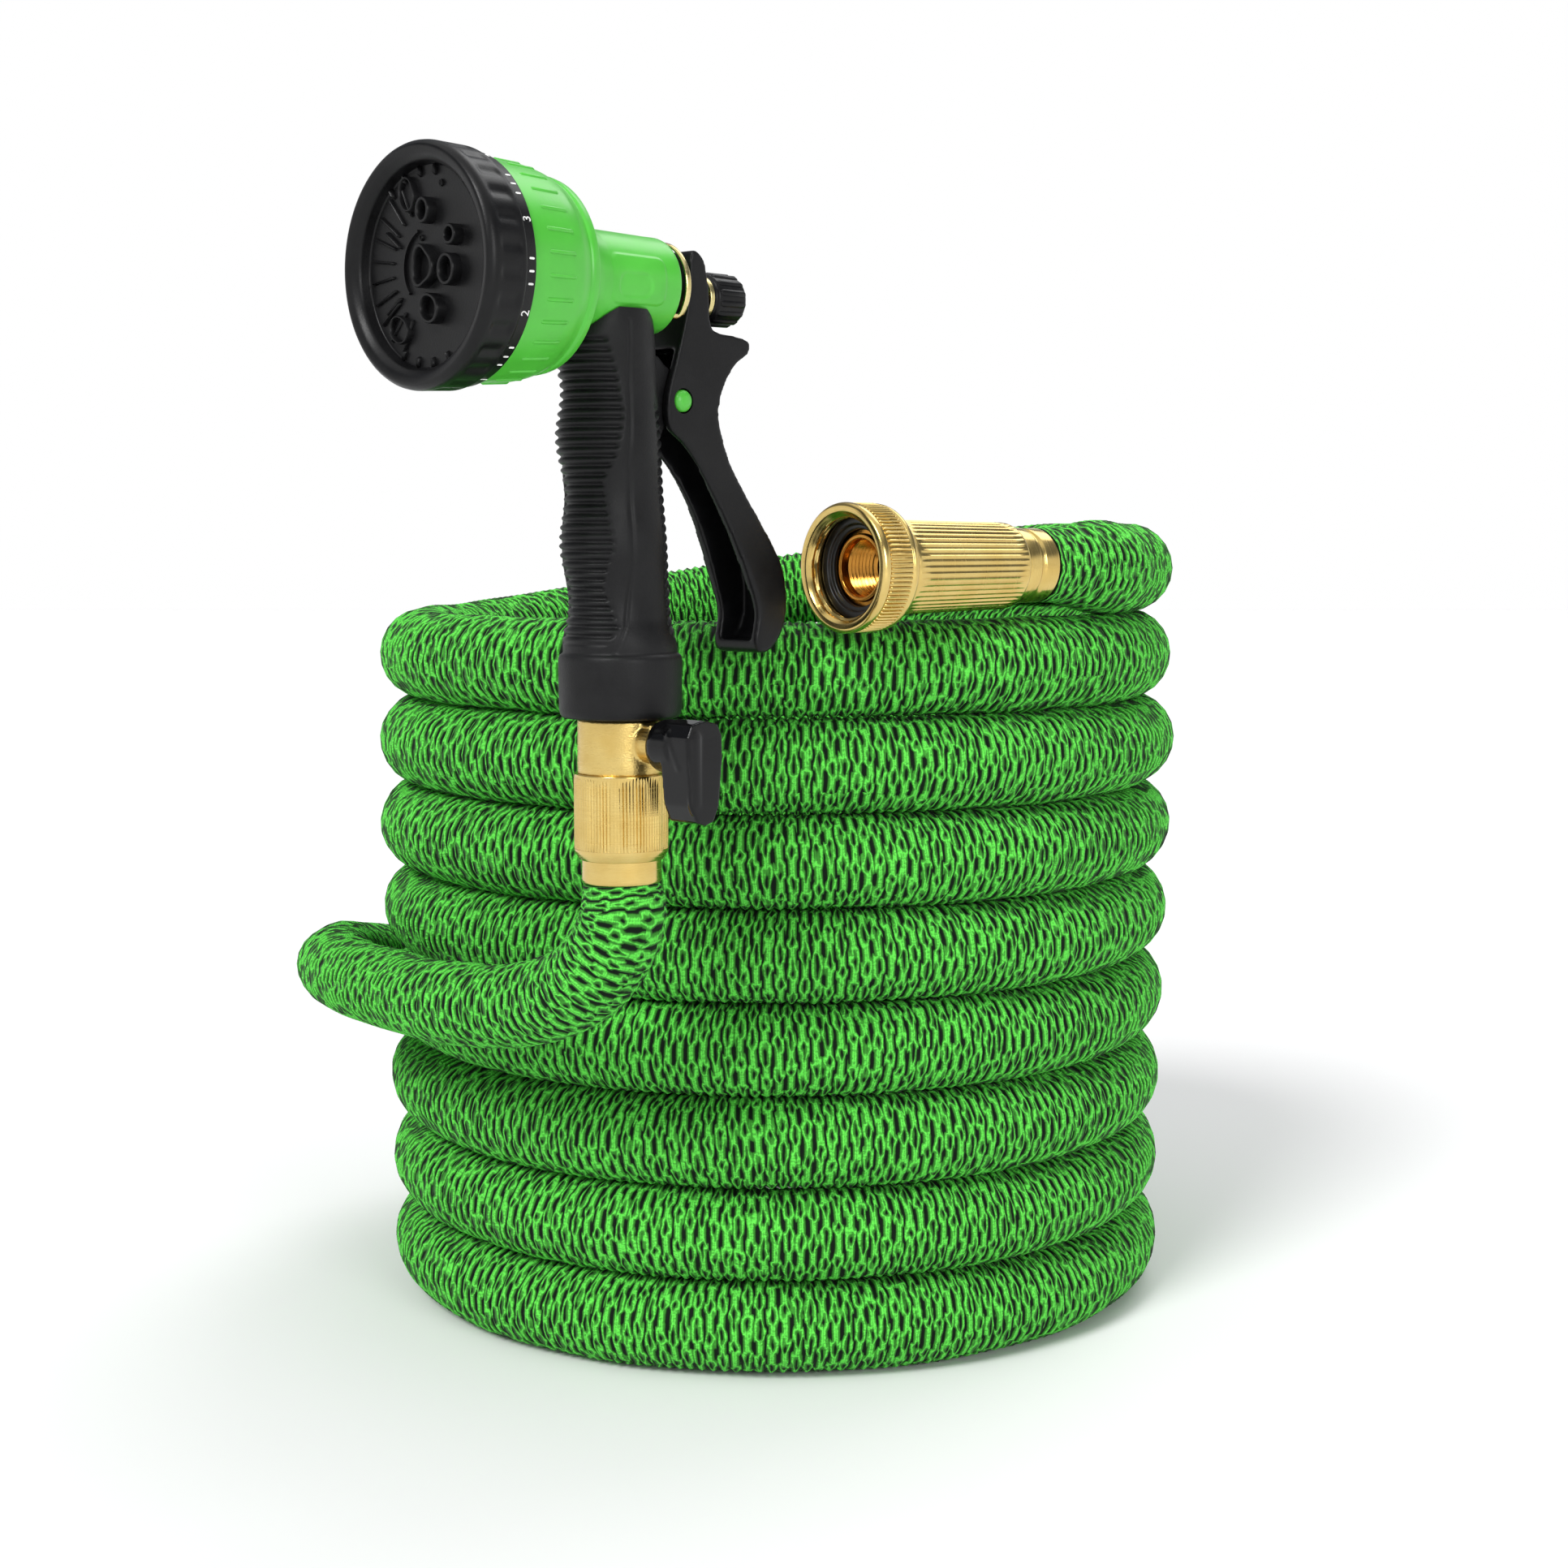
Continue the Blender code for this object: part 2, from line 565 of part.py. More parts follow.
# side outlines of the trigger, from its pin
TRIGGER_BACK = [
    (-0.0038, 0.0357), (-0.0066, 0.0340), (-0.0080, 0.0295), (-0.0088, 0.0237),
    (-0.0090, 0.0185), (-0.0113, 0.0167), (-0.0188, 0.0159), (-0.0220, 0.0147),
    (-0.0216, 0.0121), (-0.0183, 0.0100), (-0.0150, 0.0065), (-0.0126, 0.0020),
    (-0.0118, -0.0028), (-0.0131, -0.0078), (-0.0168, -0.0145), (-0.0228, -0.0230),
    (-0.0288, -0.0318), (-0.0328, -0.0388), (-0.0344, -0.0453), (-0.0344, -0.0513),
    (-0.0323, -0.0568), (-0.0290, -0.0601), (-0.0256, -0.0608),
]
TRIGGER_FRONT = [
    (-0.0236, -0.0581), (-0.0246, -0.0508), (-0.0220, -0.0433), (-0.0183, -0.0348),
    (-0.0136, -0.0258), (-0.0078, -0.0173), (-0.0018, -0.0108), (0.0037, -0.0068),
    (0.0050, -0.0028), (0.0046, 0.0019), (0.0018, 0.0104), (-0.0010, 0.0201),
    (-0.0021, 0.0257), (-0.0025, 0.0323), (-0.0030, 0.0352),
]


TRIGGER_HOLLOW = [
    (0.0262, 0.0122), (-0.0053, 0.0122), (-0.0090, 0.0042), (-0.0096, -0.0028),
    (-0.0110, -0.0075), (-0.0148, -0.0143), (-0.0208, -0.0228), (-0.0268, -0.0315),
    (-0.0307, -0.0385), (-0.0322, -0.0448), (-0.0322, -0.0505), (-0.0306, -0.0548),
    (-0.0283, -0.0575), (-0.0158, -0.0581), (0.0262, -0.0581),
]
TRIGGER_NECK = -0.018           # its slimmest place, below the pin
TRIGGER_SLIM = 0.0014
TRIGGER_PALM = 0.0018           # how far the palm rest flares again


def trigger_half(z):
    """Half width of the trigger: wide at the pin, slim neck, wide palm rest."""
    slim = TRIGGER_SLIM * rounded(-z, TRIGGER_HALF / 2, -TRIGGER_NECK)
    palm = TRIGGER_PALM * rounded(-z, -TRIGGER_NECK, -2.5 * TRIGGER_NECK)
    return TRIGGER_HALF - slim + palm


def trigger(nozzle, black):
    """Rear lever: a channel open towards the grip, with an arm for the plunger."""
    mesh = outline_mesh("trigger", TRIGGER_BACK + TRIGGER_FRONT, trigger_half)
    pin_at = (PIN_X, 0, PIN_Z)
    obj = add_object("trigger", mesh, nozzle, black, pin_at)
    hollow = outline_mesh("trigger_hollow_tool", TRIGGER_HOLLOW,
                          lambda z: trigger_half(z) - CHEEK)
    cut(obj, "trigger_hollow_tool", hollow, pin_at)
    reach = 2 * TRIGGER_HALF
    hole = cylinder_mesh("trigger_hole_tool", PIN_R + GAP, -reach, reach)
    cut(obj, "trigger_hole_tool", hole, pin_at, ALONG_Y)
    low, high = PLUNGER_Z - ROD_R - 3 * GAP, PLUNGER_Z + 2.8 * ROD_R
    front, back = PIN_X + PIN_R, WASHER_X - WASHER_L
    slot = outline_mesh("trigger_slot_tool",
                        [(back, low), (front, low), (front, high), (back, high)],
                        lambda z: ROD_R + 2 * GAP)
    cut(obj, "trigger_slot_tool", slot)


def small_parts(nozzle, green, gold, brass, black):
    """Pin, wire bow, plunger rod with its washer, and the flow knob."""
    head = TRIGGER_HALF + PIN_PROUD
    pin = cylinder_mesh("pivot_pin", PIN_R, -head, head)
    add_object("pivot_pin", pin, nozzle, green, (PIN_X, 0, PIN_Z), ALONG_Y)

    bow_x = BARREL_REAR - WIRE_STAND
    first, last = math.radians(-46), math.radians(226)
    steps = 16
    bow = [Vector((BARREL_REAR - GAP, WIRE_BOW_R * math.cos(first),
                   AXIS_Z + WIRE_BOW_R * math.sin(first)))]
    for step in range(steps + 1):
        angle = first + (last - first) * step / steps
        bow.append(Vector((bow_x, WIRE_BOW_R * math.cos(angle),
                           AXIS_Z + WIRE_BOW_R * math.sin(angle))))
    bow.append(Vector((BARREL_REAR - GAP, WIRE_BOW_R * math.cos(last),
                       AXIS_Z + WIRE_BOW_R * math.sin(last))))
    tube("spring_wire", bow, [WIRE_R] * len(bow), nozzle, gold, 2)

    knob_front = WASHER_X - WASHER_L - GAP
    knob_back = knob_front - KNOB_L
    rod_end = knob_back + KNOB_SEAT
    rod = cylinder_mesh("plunger_rod", ROD_R, rod_end, ROD_FRONT)
    add_object("plunger_rod", rod, nozzle, brass, (0, 0, PLUNGER_Z), ALONG_X)
    washer = [(ROD_R + GAP, WASHER_X - WASHER_L), (WASHER_R, WASHER_X - WASHER_L),
              (WASHER_R, WASHER_X), (ROD_R + GAP, WASHER_X)]
    add_object("plunger_washer", turned_mesh("plunger_washer", washer, MIDDLE),
               nozzle, gold, (0, 0, PLUNGER_Z), ALONG_X)
    bevel = 0.0009
    knob = [(0, knob_back), (KNOB_R - bevel, knob_back), (KNOB_R, knob_back + bevel),
            (KNOB_R, knob_front - bevel), (KNOB_R - bevel, knob_front),
            (ROD_R + GAP, knob_front), (ROD_R + GAP, rod_end - GAP), (0, rod_end - GAP)]
    add_object("flow_knob", turned_mesh("flow_knob", knob, MIDDLE), nozzle, black,
               (0, 0, PLUNGER_Z), ALONG_X)


def main():
    clear_scene()
    fabric = material("green_sleeve_fabric", (0.06, 0.36, 0.04), 0.8)
    brass = material("turned_brass", (0.78, 0.58, 0.27), 0.3, 1.0)
    gold = material("plated_wire", (0.75, 0.62, 0.35), 0.3, 1.0)
    green = material("lime_plastic", (0.13, 0.60, 0.08), 0.4)
    black = material("black_plastic", (0.012, 0.012, 0.013), 0.45)
    soft = material("black_grip_rubber", (0.016, 0.016, 0.017), 0.6)
    seal = material("black_seal_rubber", (0.010, 0.010, 0.010), 0.5)

    stack = frame_empty("stack_frame", (STACK_X, STACK_Y, 0), Matrix.Identity(3))
    nozzle = frame_empty("nozzle_frame", (NOZZLE_X, NOZZLE_Y, 0),
                         Matrix.Rotation(NOZZLE_TURN, 3, "Z"), stack)
    mouth_way = Matrix.Rotation(INLET_TURN, 3, "Z") @ ALONG_X
    inlet = frame_empty("inlet_frame", (*INLET_MOUTH, STACK_H + INLET_RISE), mouth_way, stack)

    hose_coil(stack, fabric)
    hose_ends(stack, inlet, fabric)
    inlet_fitting(inlet, brass, seal)
    join_at = outlet_fitting(nozzle, brass)
    valve(nozzle, join_at, brass, black)
    barrel(nozzle, green)
    dial(nozzle, black)
    grip(nozzle, soft)
    trigger(nozzle, black)
    small_parts(nozzle, green, gold, brass, black)


main()
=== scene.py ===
"""Garden hose in a stack with its fittings: the looks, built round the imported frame.

Run as a script in Blender 4.5. The frame gives the places of the nozzle, the tap
fitting and the stack, and each operator makes one group of finished pieces there.
Lengths are metres, +Z is up.
"""
import json
import math

import bmesh
import bpy
import numpy as np
from bpy.props import FloatProperty, FloatVectorProperty, IntProperty, PointerProperty
from mathutils import Matrix, Vector


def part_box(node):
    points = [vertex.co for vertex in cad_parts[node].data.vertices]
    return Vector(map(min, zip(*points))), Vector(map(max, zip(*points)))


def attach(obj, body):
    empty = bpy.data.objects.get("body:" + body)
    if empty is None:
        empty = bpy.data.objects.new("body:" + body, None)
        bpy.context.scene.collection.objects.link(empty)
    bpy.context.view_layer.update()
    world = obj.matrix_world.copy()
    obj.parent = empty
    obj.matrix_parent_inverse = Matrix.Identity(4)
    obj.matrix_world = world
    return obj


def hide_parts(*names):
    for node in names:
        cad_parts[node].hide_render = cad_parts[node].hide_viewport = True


bl_info = {
    "name": "Garden hose",
    "version": (1, 0, 0),
    "blender": (4, 5, 0),
    "location": "View3D > Sidebar > Garden hose",
    "description": "Coiled fabric-sleeved hose with brass fittings and a spray nozzle",
    "category": "Object",
}

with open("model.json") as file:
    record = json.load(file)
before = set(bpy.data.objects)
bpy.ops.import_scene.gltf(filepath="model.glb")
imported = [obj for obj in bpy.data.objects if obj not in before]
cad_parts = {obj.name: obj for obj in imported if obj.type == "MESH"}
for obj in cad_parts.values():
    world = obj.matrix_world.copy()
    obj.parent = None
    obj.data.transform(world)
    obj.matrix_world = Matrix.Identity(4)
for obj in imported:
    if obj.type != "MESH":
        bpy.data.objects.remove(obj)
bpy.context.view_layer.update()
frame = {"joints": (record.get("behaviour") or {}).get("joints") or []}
JOINTS = {joint["name"]: joint for joint in frame["joints"]}
GAP = 0.0003                    # between pieces that only meet


def joint_place(name):
    """Position and unit axis of a joint of the frame."""
    return Vector(JOINTS[name]["pos_m"]), Vector(JOINTS[name]["axis"]).normalized()


def axes_matrix(origin, x, y, z):
    """Matrix that puts local axes along three world directions, at an origin."""
    turn = Matrix((x, y, z)).transposed().to_4x4()
    return Matrix.Translation(origin) @ turn


def lift(z):
    return Matrix.Translation((0, 0, z))


UP = Vector((0, 0, 1))
DIAL_AT, FORWARD = joint_place("dial_turn")
PLUNGER_AT, _ = joint_place("knob_turn")
PIN_AT, _ = joint_place("trigger_hinge")
STEM_AT, SIDEWAYS = joint_place("valve_turn")
MOUTH_AT, MOUTH_WAY = joint_place("nut_swivel")
NOZZLE = axes_matrix((DIAL_AT.x, DIAL_AT.y, 0), FORWARD, SIDEWAYS, UP)
INLET = axes_matrix(MOUTH_AT, UP.cross(MOUTH_WAY), UP, MOUTH_WAY)
AXIS_Z = DIAL_AT.z
ALONG_X = Matrix.Rotation(math.pi / 2, 4, "Y")
ALONG_Y = Matrix.Rotation(-math.pi / 2, 4, "X")
BARREL_LINE = NOZZLE @ lift(AXIS_Z) @ ALONG_X
PLUNGER_LINE = NOZZLE @ lift(PLUNGER_AT.z) @ ALONG_X
PIN = NOZZLE.inverted() @ PIN_AT
PIN_LINE = NOZZLE @ Matrix.Translation(PIN) @ ALONG_Y
STACK_LOW, STACK_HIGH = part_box("hose_coil")
STACK_AT = Vector(((STACK_LOW.x + STACK_HIGH.x) / 2, (STACK_LOW.y + STACK_HIGH.y) / 2, 0))


def linear(code):
    """Linear colour from an sRGB hex code."""
    shares = [int(code[i:i + 2], 16) / 255 for i in (1, 3, 5)]
    return tuple(c / 12.92 if c <= 0.04045 else ((c + 0.055) / 1.055) ** 2.4 for c in shares)


def length_setting(name, default, description):
    return FloatProperty(name=name, description=description, default=default, unit="LENGTH")


def count_setting(name, default, description):
    return IntProperty(name=name, description=description, default=default)


def colour_setting(name, code, description):
    return FloatVectorProperty(name=name, description=description, subtype="COLOR", size=3,
                               default=linear(code))


class HoseSizes(bpy.types.PropertyGroup):
    """Sizes and colours of the fabric hose."""

    thickness: length_setting("Thickness", 0.025, "Outer diameter of the slack sleeve")
    drawn: length_setting("Drawn thickness", 0.021, "Sleeve at the nozzle, drawn thin")
    coil_radius: length_setting("Coil radius", 0.1054, "Centreline radius of the stack")
    turns: count_setting("Turns", 8, "Turns in the stack")
    pleat: length_setting("Pleat", 0.0029, "Spacing of the sleeve's pleats")
    # painted highlight and shade: the yarn colour at full strength lights the tops of the yarns,
    # and the gap colour is the shade painted deep between them
    light: colour_setting("Yarn", "#62DE4E", "Colour of the raised yarns, at full strength their painted highlight")
    dark: colour_setting("Gap shade", "#021004", "Painted shade deep between the yarns")


class FittingSizes(bpy.types.PropertyGroup):
    """Patterns and colours of the brass fittings."""

    nut_ribs: count_setting("Nut ribs", 84, "Ribs round the tap nut")
    flutes: count_setting("Flutes", 50, "Flutes round the long sleeve")
    knurls: count_setting("Knurls", 84, "Lines round the short sleeve")
    thread_pitch: length_setting("Thread pitch", 0.00221, "Pitch of the tap thread")
    brass: colour_setting("Brass", "#D6BC76", "Colour of the turned brass")
    deep_brass: colour_setting("Deep brass", "#B9833A", "Colour of the stem's brass")


class NozzleSizes(bpy.types.PropertyGroup):
    """Patterns and colours of the spray nozzle."""

    ridge_pitch: length_setting("Ridge pitch", 0.0022, "Spacing of the grip's ridges")
    ridge_depth: length_setting("Ridge depth", 0.0009, "Depth of the grip's grooves")
    bell_ribs: count_setting("Bell ribs", 30, "Short ribs round the bell")
    knob_ribs: count_setting("Knob ribs", 14, "Ribs round the flow knob")
    lime: colour_setting("Lime", "#4DB838", "Colour of the barrel")


def settings(group="garden_hose"):
    """The sizes and colours of one group, as the user set them."""
    return getattr(bpy.context.scene, group)


def add(tree, kind, feeds=None, **settings_):
    """Add a node, set its properties, and feed its sockets with values, nodes or sockets."""
    made = tree.nodes.new(kind)
    for key, value in settings_.items():
        setattr(made, key, value)
    for key, value in (feeds or {}).items():
        if isinstance(value, bpy.types.Node):
            value = value.outputs[0]
        if isinstance(value, bpy.types.NodeSocket):
            tree.links.new(value, made.inputs[key])
        else:
            made.inputs[key].default_value = value
    return made


def new_material(name, **values):
    """Material with a Principled shader and some of its sockets set."""
    mat = bpy.data.materials.new(name)
    mat.use_nodes = True
    shader = mat.node_tree.nodes["Principled BSDF"]
    for key, value in values.items():
        shader.inputs[key.replace("_", " ")].default_value = value
    return mat, mat.node_tree, shader


def ramp(tree, value, *pairs):
    """Colour ramp over a value, from (place, linear colour) pairs."""
    made = add(tree, "ShaderNodeValToRGB", {0: value})
    elements = made.color_ramp.elements
    while len(elements) < len(pairs):
        elements.new(0.5)
    for element, (place, colour) in zip(elements, pairs):
        element.position = place
        element.color = (*colour[:3], 1.0)
    return made


def maths(tree, operation, *values):
    return add(tree, "ShaderNodeMath", dict(enumerate(values)), operation=operation)


def noise(tree, place, scale, detail, **feeds):
    return add(tree, "ShaderNodeTexNoise",
               {"Vector": place, "Scale": scale, "Detail": detail, **feeds})


def spread(tree, value, low, high, to_low, to_high, way="LINEAR"):
    """Map a value from the range low to high onto another range."""
    return add(tree, "ShaderNodeMapRange",
               {"Value": value, 1: low, 2: high, 3: to_low, 4: to_high}, interpolation_type=way)


def bump(tree, height, strength, distance, **feeds):
    return add(tree, "ShaderNodeBump",
               {"Height": height, "Strength": strength, "Distance": distance, **feeds})


def feed(tree, shader, **nodes):
    """Link each node's first output to the shader's socket of that name."""
    for name, node in nodes.items():
        tree.links.new(node.outputs[0], shader.inputs[name.replace("_", " ")])


def sleeve_material():
    """Woven polyester sleeve, slack over its tube: yarns bunch in looping pleats.

    The eye sees bright rounded yarns that part and meet like chain links, with
    near-black gaps between them. The colour paints this light and shade in: the
    gaps are near black as painted shade, and the tops of the yarns bright as
    painted highlight. The UV map counts pleats along the hose and loops round it,
    so the pattern follows the sleeve.
    """
    hose = settings()
    mat, tree, shader = new_material("woven_polyester_sleeve", Roughness=0.7, Sheen_Weight=0.03,
                                     Specular_IOR_Level=0.12)
    place = add(tree, "ShaderNodeUVMap", uv_map="sleeve")
    split = add(tree, "ShaderNodeSeparateXYZ", {0: place})
    along, round_ = split.outputs[0], split.outputs[1]
    shift = maths(tree, "MULTIPLY_ADD", noise(tree, place, 0.8, 2.0), 0.3, -0.15)
    count = maths(tree, "ADD", along, shift)
    pleat = maths(tree, "ROUND", count)
    side = maths(tree, "ABSOLUTE", maths(tree, "SUBTRACT", count, pleat))
    # each pleat starts its loops at a place of its own
    chance = add(tree, "ShaderNodeTexWhiteNoise", {"W": pleat}, noise_dimensions="1D")
    slip = maths(tree, "MULTIPLY", noise(tree, place, 1.7, 1.0), 7.0)
    loops = maths(tree, "MULTIPLY_ADD", round_, 2 * math.pi, slip)
    phase = maths(tree, "MULTIPLY_ADD", chance, 2 * math.pi, loops)
    opening = spread(tree, maths(tree, "SINE", phase), -0.35, 1.0, 0.08, 0.36)
    near = maths(tree, "ABSOLUTE", maths(tree, "SUBTRACT", side, opening))
    # yarn about 1 mm wide, drawn a little coarse so that it shows
    yarn = spread(tree, near, 0.34, 0.0, 0.0, 1.0, way="SMOOTHSTEP")
    # twisted filaments, knots about 0.8 mm long
    twisted = add(tree, "ShaderNodeMapping", {"Vector": place, "Scale": (3, 14, 1)})
    knotted = maths(tree, "MULTIPLY_ADD", noise(tree, twisted, 1.0, 2.0), 0.9, 0.55)
    height = maths(tree, "MULTIPLY", yarn, knotted)
    # painted shade and highlight: the ramp darkens to the gap colour where the yarns part and
    # brightens to the full yarn colour on their tops
    shades = [(at, [share * c for c in hose.light])
              for at, share in ((0.14, 0.05), (0.30, 0.28), (0.74, 0.42), (1.0, 1.0))]
    feed(tree, shader, Base_Color=ramp(tree, height, (0.0, hose.dark), *shades),
         Normal=bump(tree, height, 0.9, 0.0009))
    return mat


def own_place(tree, scale=(1, 1, 1)):
    """The piece's own coordinates, which its mesh carries, stretched along each axis."""
    place = add(tree, "ShaderNodeAttribute", attribute_name="own_place")
    return add(tree, "ShaderNodeMapping", {"Vector": place.outputs["Vector"], "Scale": scale})


def brass_material(name, colour, roughness=0.19, marks=0.6, cast=0.0):
    """Brass, turned on a lathe or cast and blasted, and left bare.

    The eye sees a pale gold with a slightly redder bloom in places. Turned faces
    carry fine tool marks round the axis, and cast ones an even soft grain.
    """
    mat, tree, shader = new_material(name, Metallic=1.0)
    tint = [c * share for c, share in zip(colour, (0.88, 0.81, 0.66))]
    bloom = noise(tree, own_place(tree), 140.0, 3.0)
    # tool marks are 0.1 to 0.2 mm apart on the real piece, and 0.3 mm here to show
    turned_marks = noise(tree, own_place(tree, (60, 60, 3300)), 1.0, 2.0)
    # blasted grain of about 0.4 mm
    grain = noise(tree, own_place(tree), 2400.0, 2.0)
    lines = bump(tree, turned_marks, marks, 0.00003)
    feed(tree, shader, Base_Color=ramp(tree, bloom, (0.35, colour), (0.78, tint)),
         Roughness=spread(tree, turned_marks, 0.3, 0.7, roughness - 0.06, roughness + 0.10),
         Normal=bump(tree, grain, cast, 0.00009, Normal=lines))
    return mat


def moulded_material(name, light, dark, roughness, grain=0.0004, depth=0.00002, **values):
    """Moulded plastic or rubber, coloured through.

    The eye sees a nearly even colour, a faint cloud in its gloss where hands have
    polished it, and the fine texture of the mould.
    """
    mat, tree, shader = new_material(name, **values)
    cloud = noise(tree, own_place(tree), 110.0, 4.0, Roughness=0.6)
    pits = noise(tree, own_place(tree), 1 / grain, 2.0)
    feed(tree, shader, Base_Color=ramp(tree, cloud, (0.35, dark), (0.68, light)),
         Roughness=spread(tree, cloud, 0.3, 0.7, roughness * 0.82, roughness * 1.15),
         Normal=bump(tree, pits, 1.0, depth))
    return mat


def material_once(make, name, *given, **values):
    """The material of that name, made the first time it is asked for."""
    return bpy.data.materials.get(name) or make(name, *given, **values)


def turned_brass():
    return material_once(brass_material, "lathe_turned_brass", settings("hose_fittings").brass)


def cast_brass():
    return material_once(brass_material, "blasted_cast_brass", settings("hose_fittings").brass,
                         roughness=0.30, marks=0.0, cast=0.8)


def deep_brass():
    return material_once(brass_material, "deep_turned_brass",
                         settings("hose_fittings").deep_brass, roughness=0.20)


def plated_steel():
    return material_once(brass_material, "zinc_plated_spring_steel", linear("#D6C990"),
                         roughness=0.22, marks=0.2)


def lime_plastic():
    """ABS in lime green, moulded with a satin gloss."""
    lime = settings("hose_nozzle").lime
    return material_once(moulded_material, "lime_abs", lime, [0.88 * c for c in lime], 0.34,
                         grain=0.0006, depth=0.000012, Subsurface_Weight=0.06,
                         Subsurface_Radius=(0.001, 0.003, 0.0008), Subsurface_Scale=1.0)


def satin_black():
    """Black ABS with a finely etched surface."""
    return material_once(moulded_material, "satin_black_abs", linear("#121213"),
                         linear("#0B0B0C"), 0.36, grain=0.00045, depth=0.000022,
                         Specular_IOR_Level=0.2)


def gloss_black():
    """Black nylon with a polished surface."""
    return material_once(moulded_material, "gloss_black_nylon", linear("#070708"),
                         linear("#040405"), 0.09, grain=0.0012, depth=0.000012,
                         Specular_IOR_Level=0.28)


def grip_rubber():
    """Thermoplastic rubber, moulded over the handle, dull and slightly grey."""
    return material_once(moulded_material, "overmoulded_grip_rubber", linear("#171718"),
                         linear("#0F0F10"), 0.48, grain=0.0005, depth=0.00004,
                         Specular_IOR_Level=0.2)


def seal_rubber():
    """Nitrile rubber of a tap seal, smooth from its mould."""
    return material_once(moulded_material, "nitrile_seal_rubber", linear("#0E0F10"),
                         linear("#090A0B"), 0.36, grain=0.0007, depth=0.00003)


def white_print():
    """White pad-printed ink, thin, with a dull face."""
    return material_once(moulded_material, "white_pad_print", linear("#F4F4F2"),
                         linear("#DCDCDA"), 0.5, grain=0.0003, depth=0.00001)


def linked(name, data):
    """New object in the scene's collection."""
    obj = bpy.data.objects.new(name, data)
    bpy.context.scene.collection.objects.link(obj)
    return obj


def mesh_of(bm, name):
    """Weld a bmesh, turn its faces outwards and return it as a mesh."""
    bmesh.ops.remove_doubles(bm, verts=bm.verts, dist=2e-6)
    bmesh.ops.recalc_face_normals(bm, faces=bm.faces)
    mesh = bpy.data.meshes.new(name)
    bm.to_mesh(mesh)
    bm.free()
    return mesh


def place_mesh(name, mesh, matrix, mat, body, *nodes, slot=None, sharp=38):
    """Finish a mesh as a piece: place in its vertices, shading, material, body and nodes.

    The mesh keeps its own coordinates in an attribute, which the materials read.
    """
    own = np.empty(3 * len(mesh.vertices), dtype=np.float32)
    mesh.vertices.foreach_get("co", own)
    mesh.attributes.new("own_place", "FLOAT_VECTOR", "POINT").data.foreach_set("vector", own)
    mesh.transform(matrix)
    mesh.materials.clear()
    mesh.materials.append(mat)
    mesh.shade_smooth()
    mesh.set_sharp_from_angle(angle=math.radians(sharp))
    obj = linked(name, mesh)
    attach(obj, body)
    if nodes:
        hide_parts(*nodes)
    return obj


def merged(*meshes):
    """One mesh that holds several, each closed in itself."""
    bm = bmesh.new()
    for mesh in meshes:
        bm.from_mesh(mesh)
    result = bpy.data.meshes.new(meshes[0].name)
    bm.to_mesh(result)
    bm.free()
    for mesh in meshes:
        bpy.data.meshes.remove(mesh)
    return result


def moved(mesh, matrix):
    mesh.transform(matrix)
    return mesh


def tube_faces(rows, sides, joined=False):
    """Quads between rings of points, joined end to end or closed by caps."""
    i = np.arange(rows if joined else rows - 1)[:, None]
    j = np.arange(sides)[None, :]
    up, side = (i + 1) % rows, (j + 1) % sides
    quads = np.stack([i * sides + j, i * sides + side, up * sides + side, up * sides + j],
                     axis=-1).reshape(-1, 4).tolist()
    if not joined:
        quads += [list(range(sides))[::-1], list(range((rows - 1) * sides, rows * sides))]
    return quads


def ring_mesh(name, rings, joined=False):
    """Skin over rings of points (rings, sides, 3)."""
    rough = bpy.data.meshes.new(name)
    rough.from_pydata(rings.reshape(-1, 3).tolist(), [], tube_faces(*rings.shape[:2], joined))
    bm = bmesh.new()
    bm.from_mesh(rough)
    bpy.data.meshes.remove(rough)
    return mesh_of(bm, name)


def rounded(points, steps=3):
    """Profile whose corners are rounded: points are (radius, place) or (radius, place, size)."""
    result = []
    for i, point in enumerate(points):
        corner = Vector(point[:2])
        if len(point) == 2:
            result.append(corner)
            continue
        before = Vector(points[i - 1][:2])
        after = Vector(points[(i + 1) % len(points)][:2])
        enter = corner + (before - corner).normalized() * point[2]
        leave = corner + (after - corner).normalized() * point[2]
        for step in range(steps + 1):
            t = step / steps
            result.append(enter * (1 - t) ** 2 + corner * 2 * t * (1 - t) + leave * t * t)
    return result


def run(radius, start, end, count, last=None):
    """Points of a profile along one straight stretch, whose radius may change to last."""
    radii = np.linspace(radius, radius if last is None else last, count)
    return list(zip(radii, np.linspace(start, end, count)))


def turned(name, profile, sides=96, relief=None):
    """Turn a profile round local Z. Relief adds to its radii, from radius, place and angle."""
    profile = rounded(profile)
    radius = np.array([p[0] for p in profile])[:, None]
    place = np.array([p[1] for p in profile])[:, None]
    angle = 2 * math.pi * np.arange(sides)[None, :] / sides
    out = radius + 0 * angle
    if relief is not None:
        out = out + np.where(radius > 0, relief(radius, place, angle), 0.0)
    rings = np.stack([out * np.cos(angle), out * np.sin(angle), place + 0 * angle], axis=-1)
    return ring_mesh(name, rings, joined=profile[0][0] > 0 or profile[-1][0] > 0)


def turned_piece(name, profile, sides, place, mat, *rides, slot, relief=None, sharp=38):
    """A piece that is one turned mesh: rides are its body and the node it replaces."""
    return place_mesh(name, turned(name, profile, sides, relief), place, mat, *rides,
                      slot=slot, sharp=sharp)


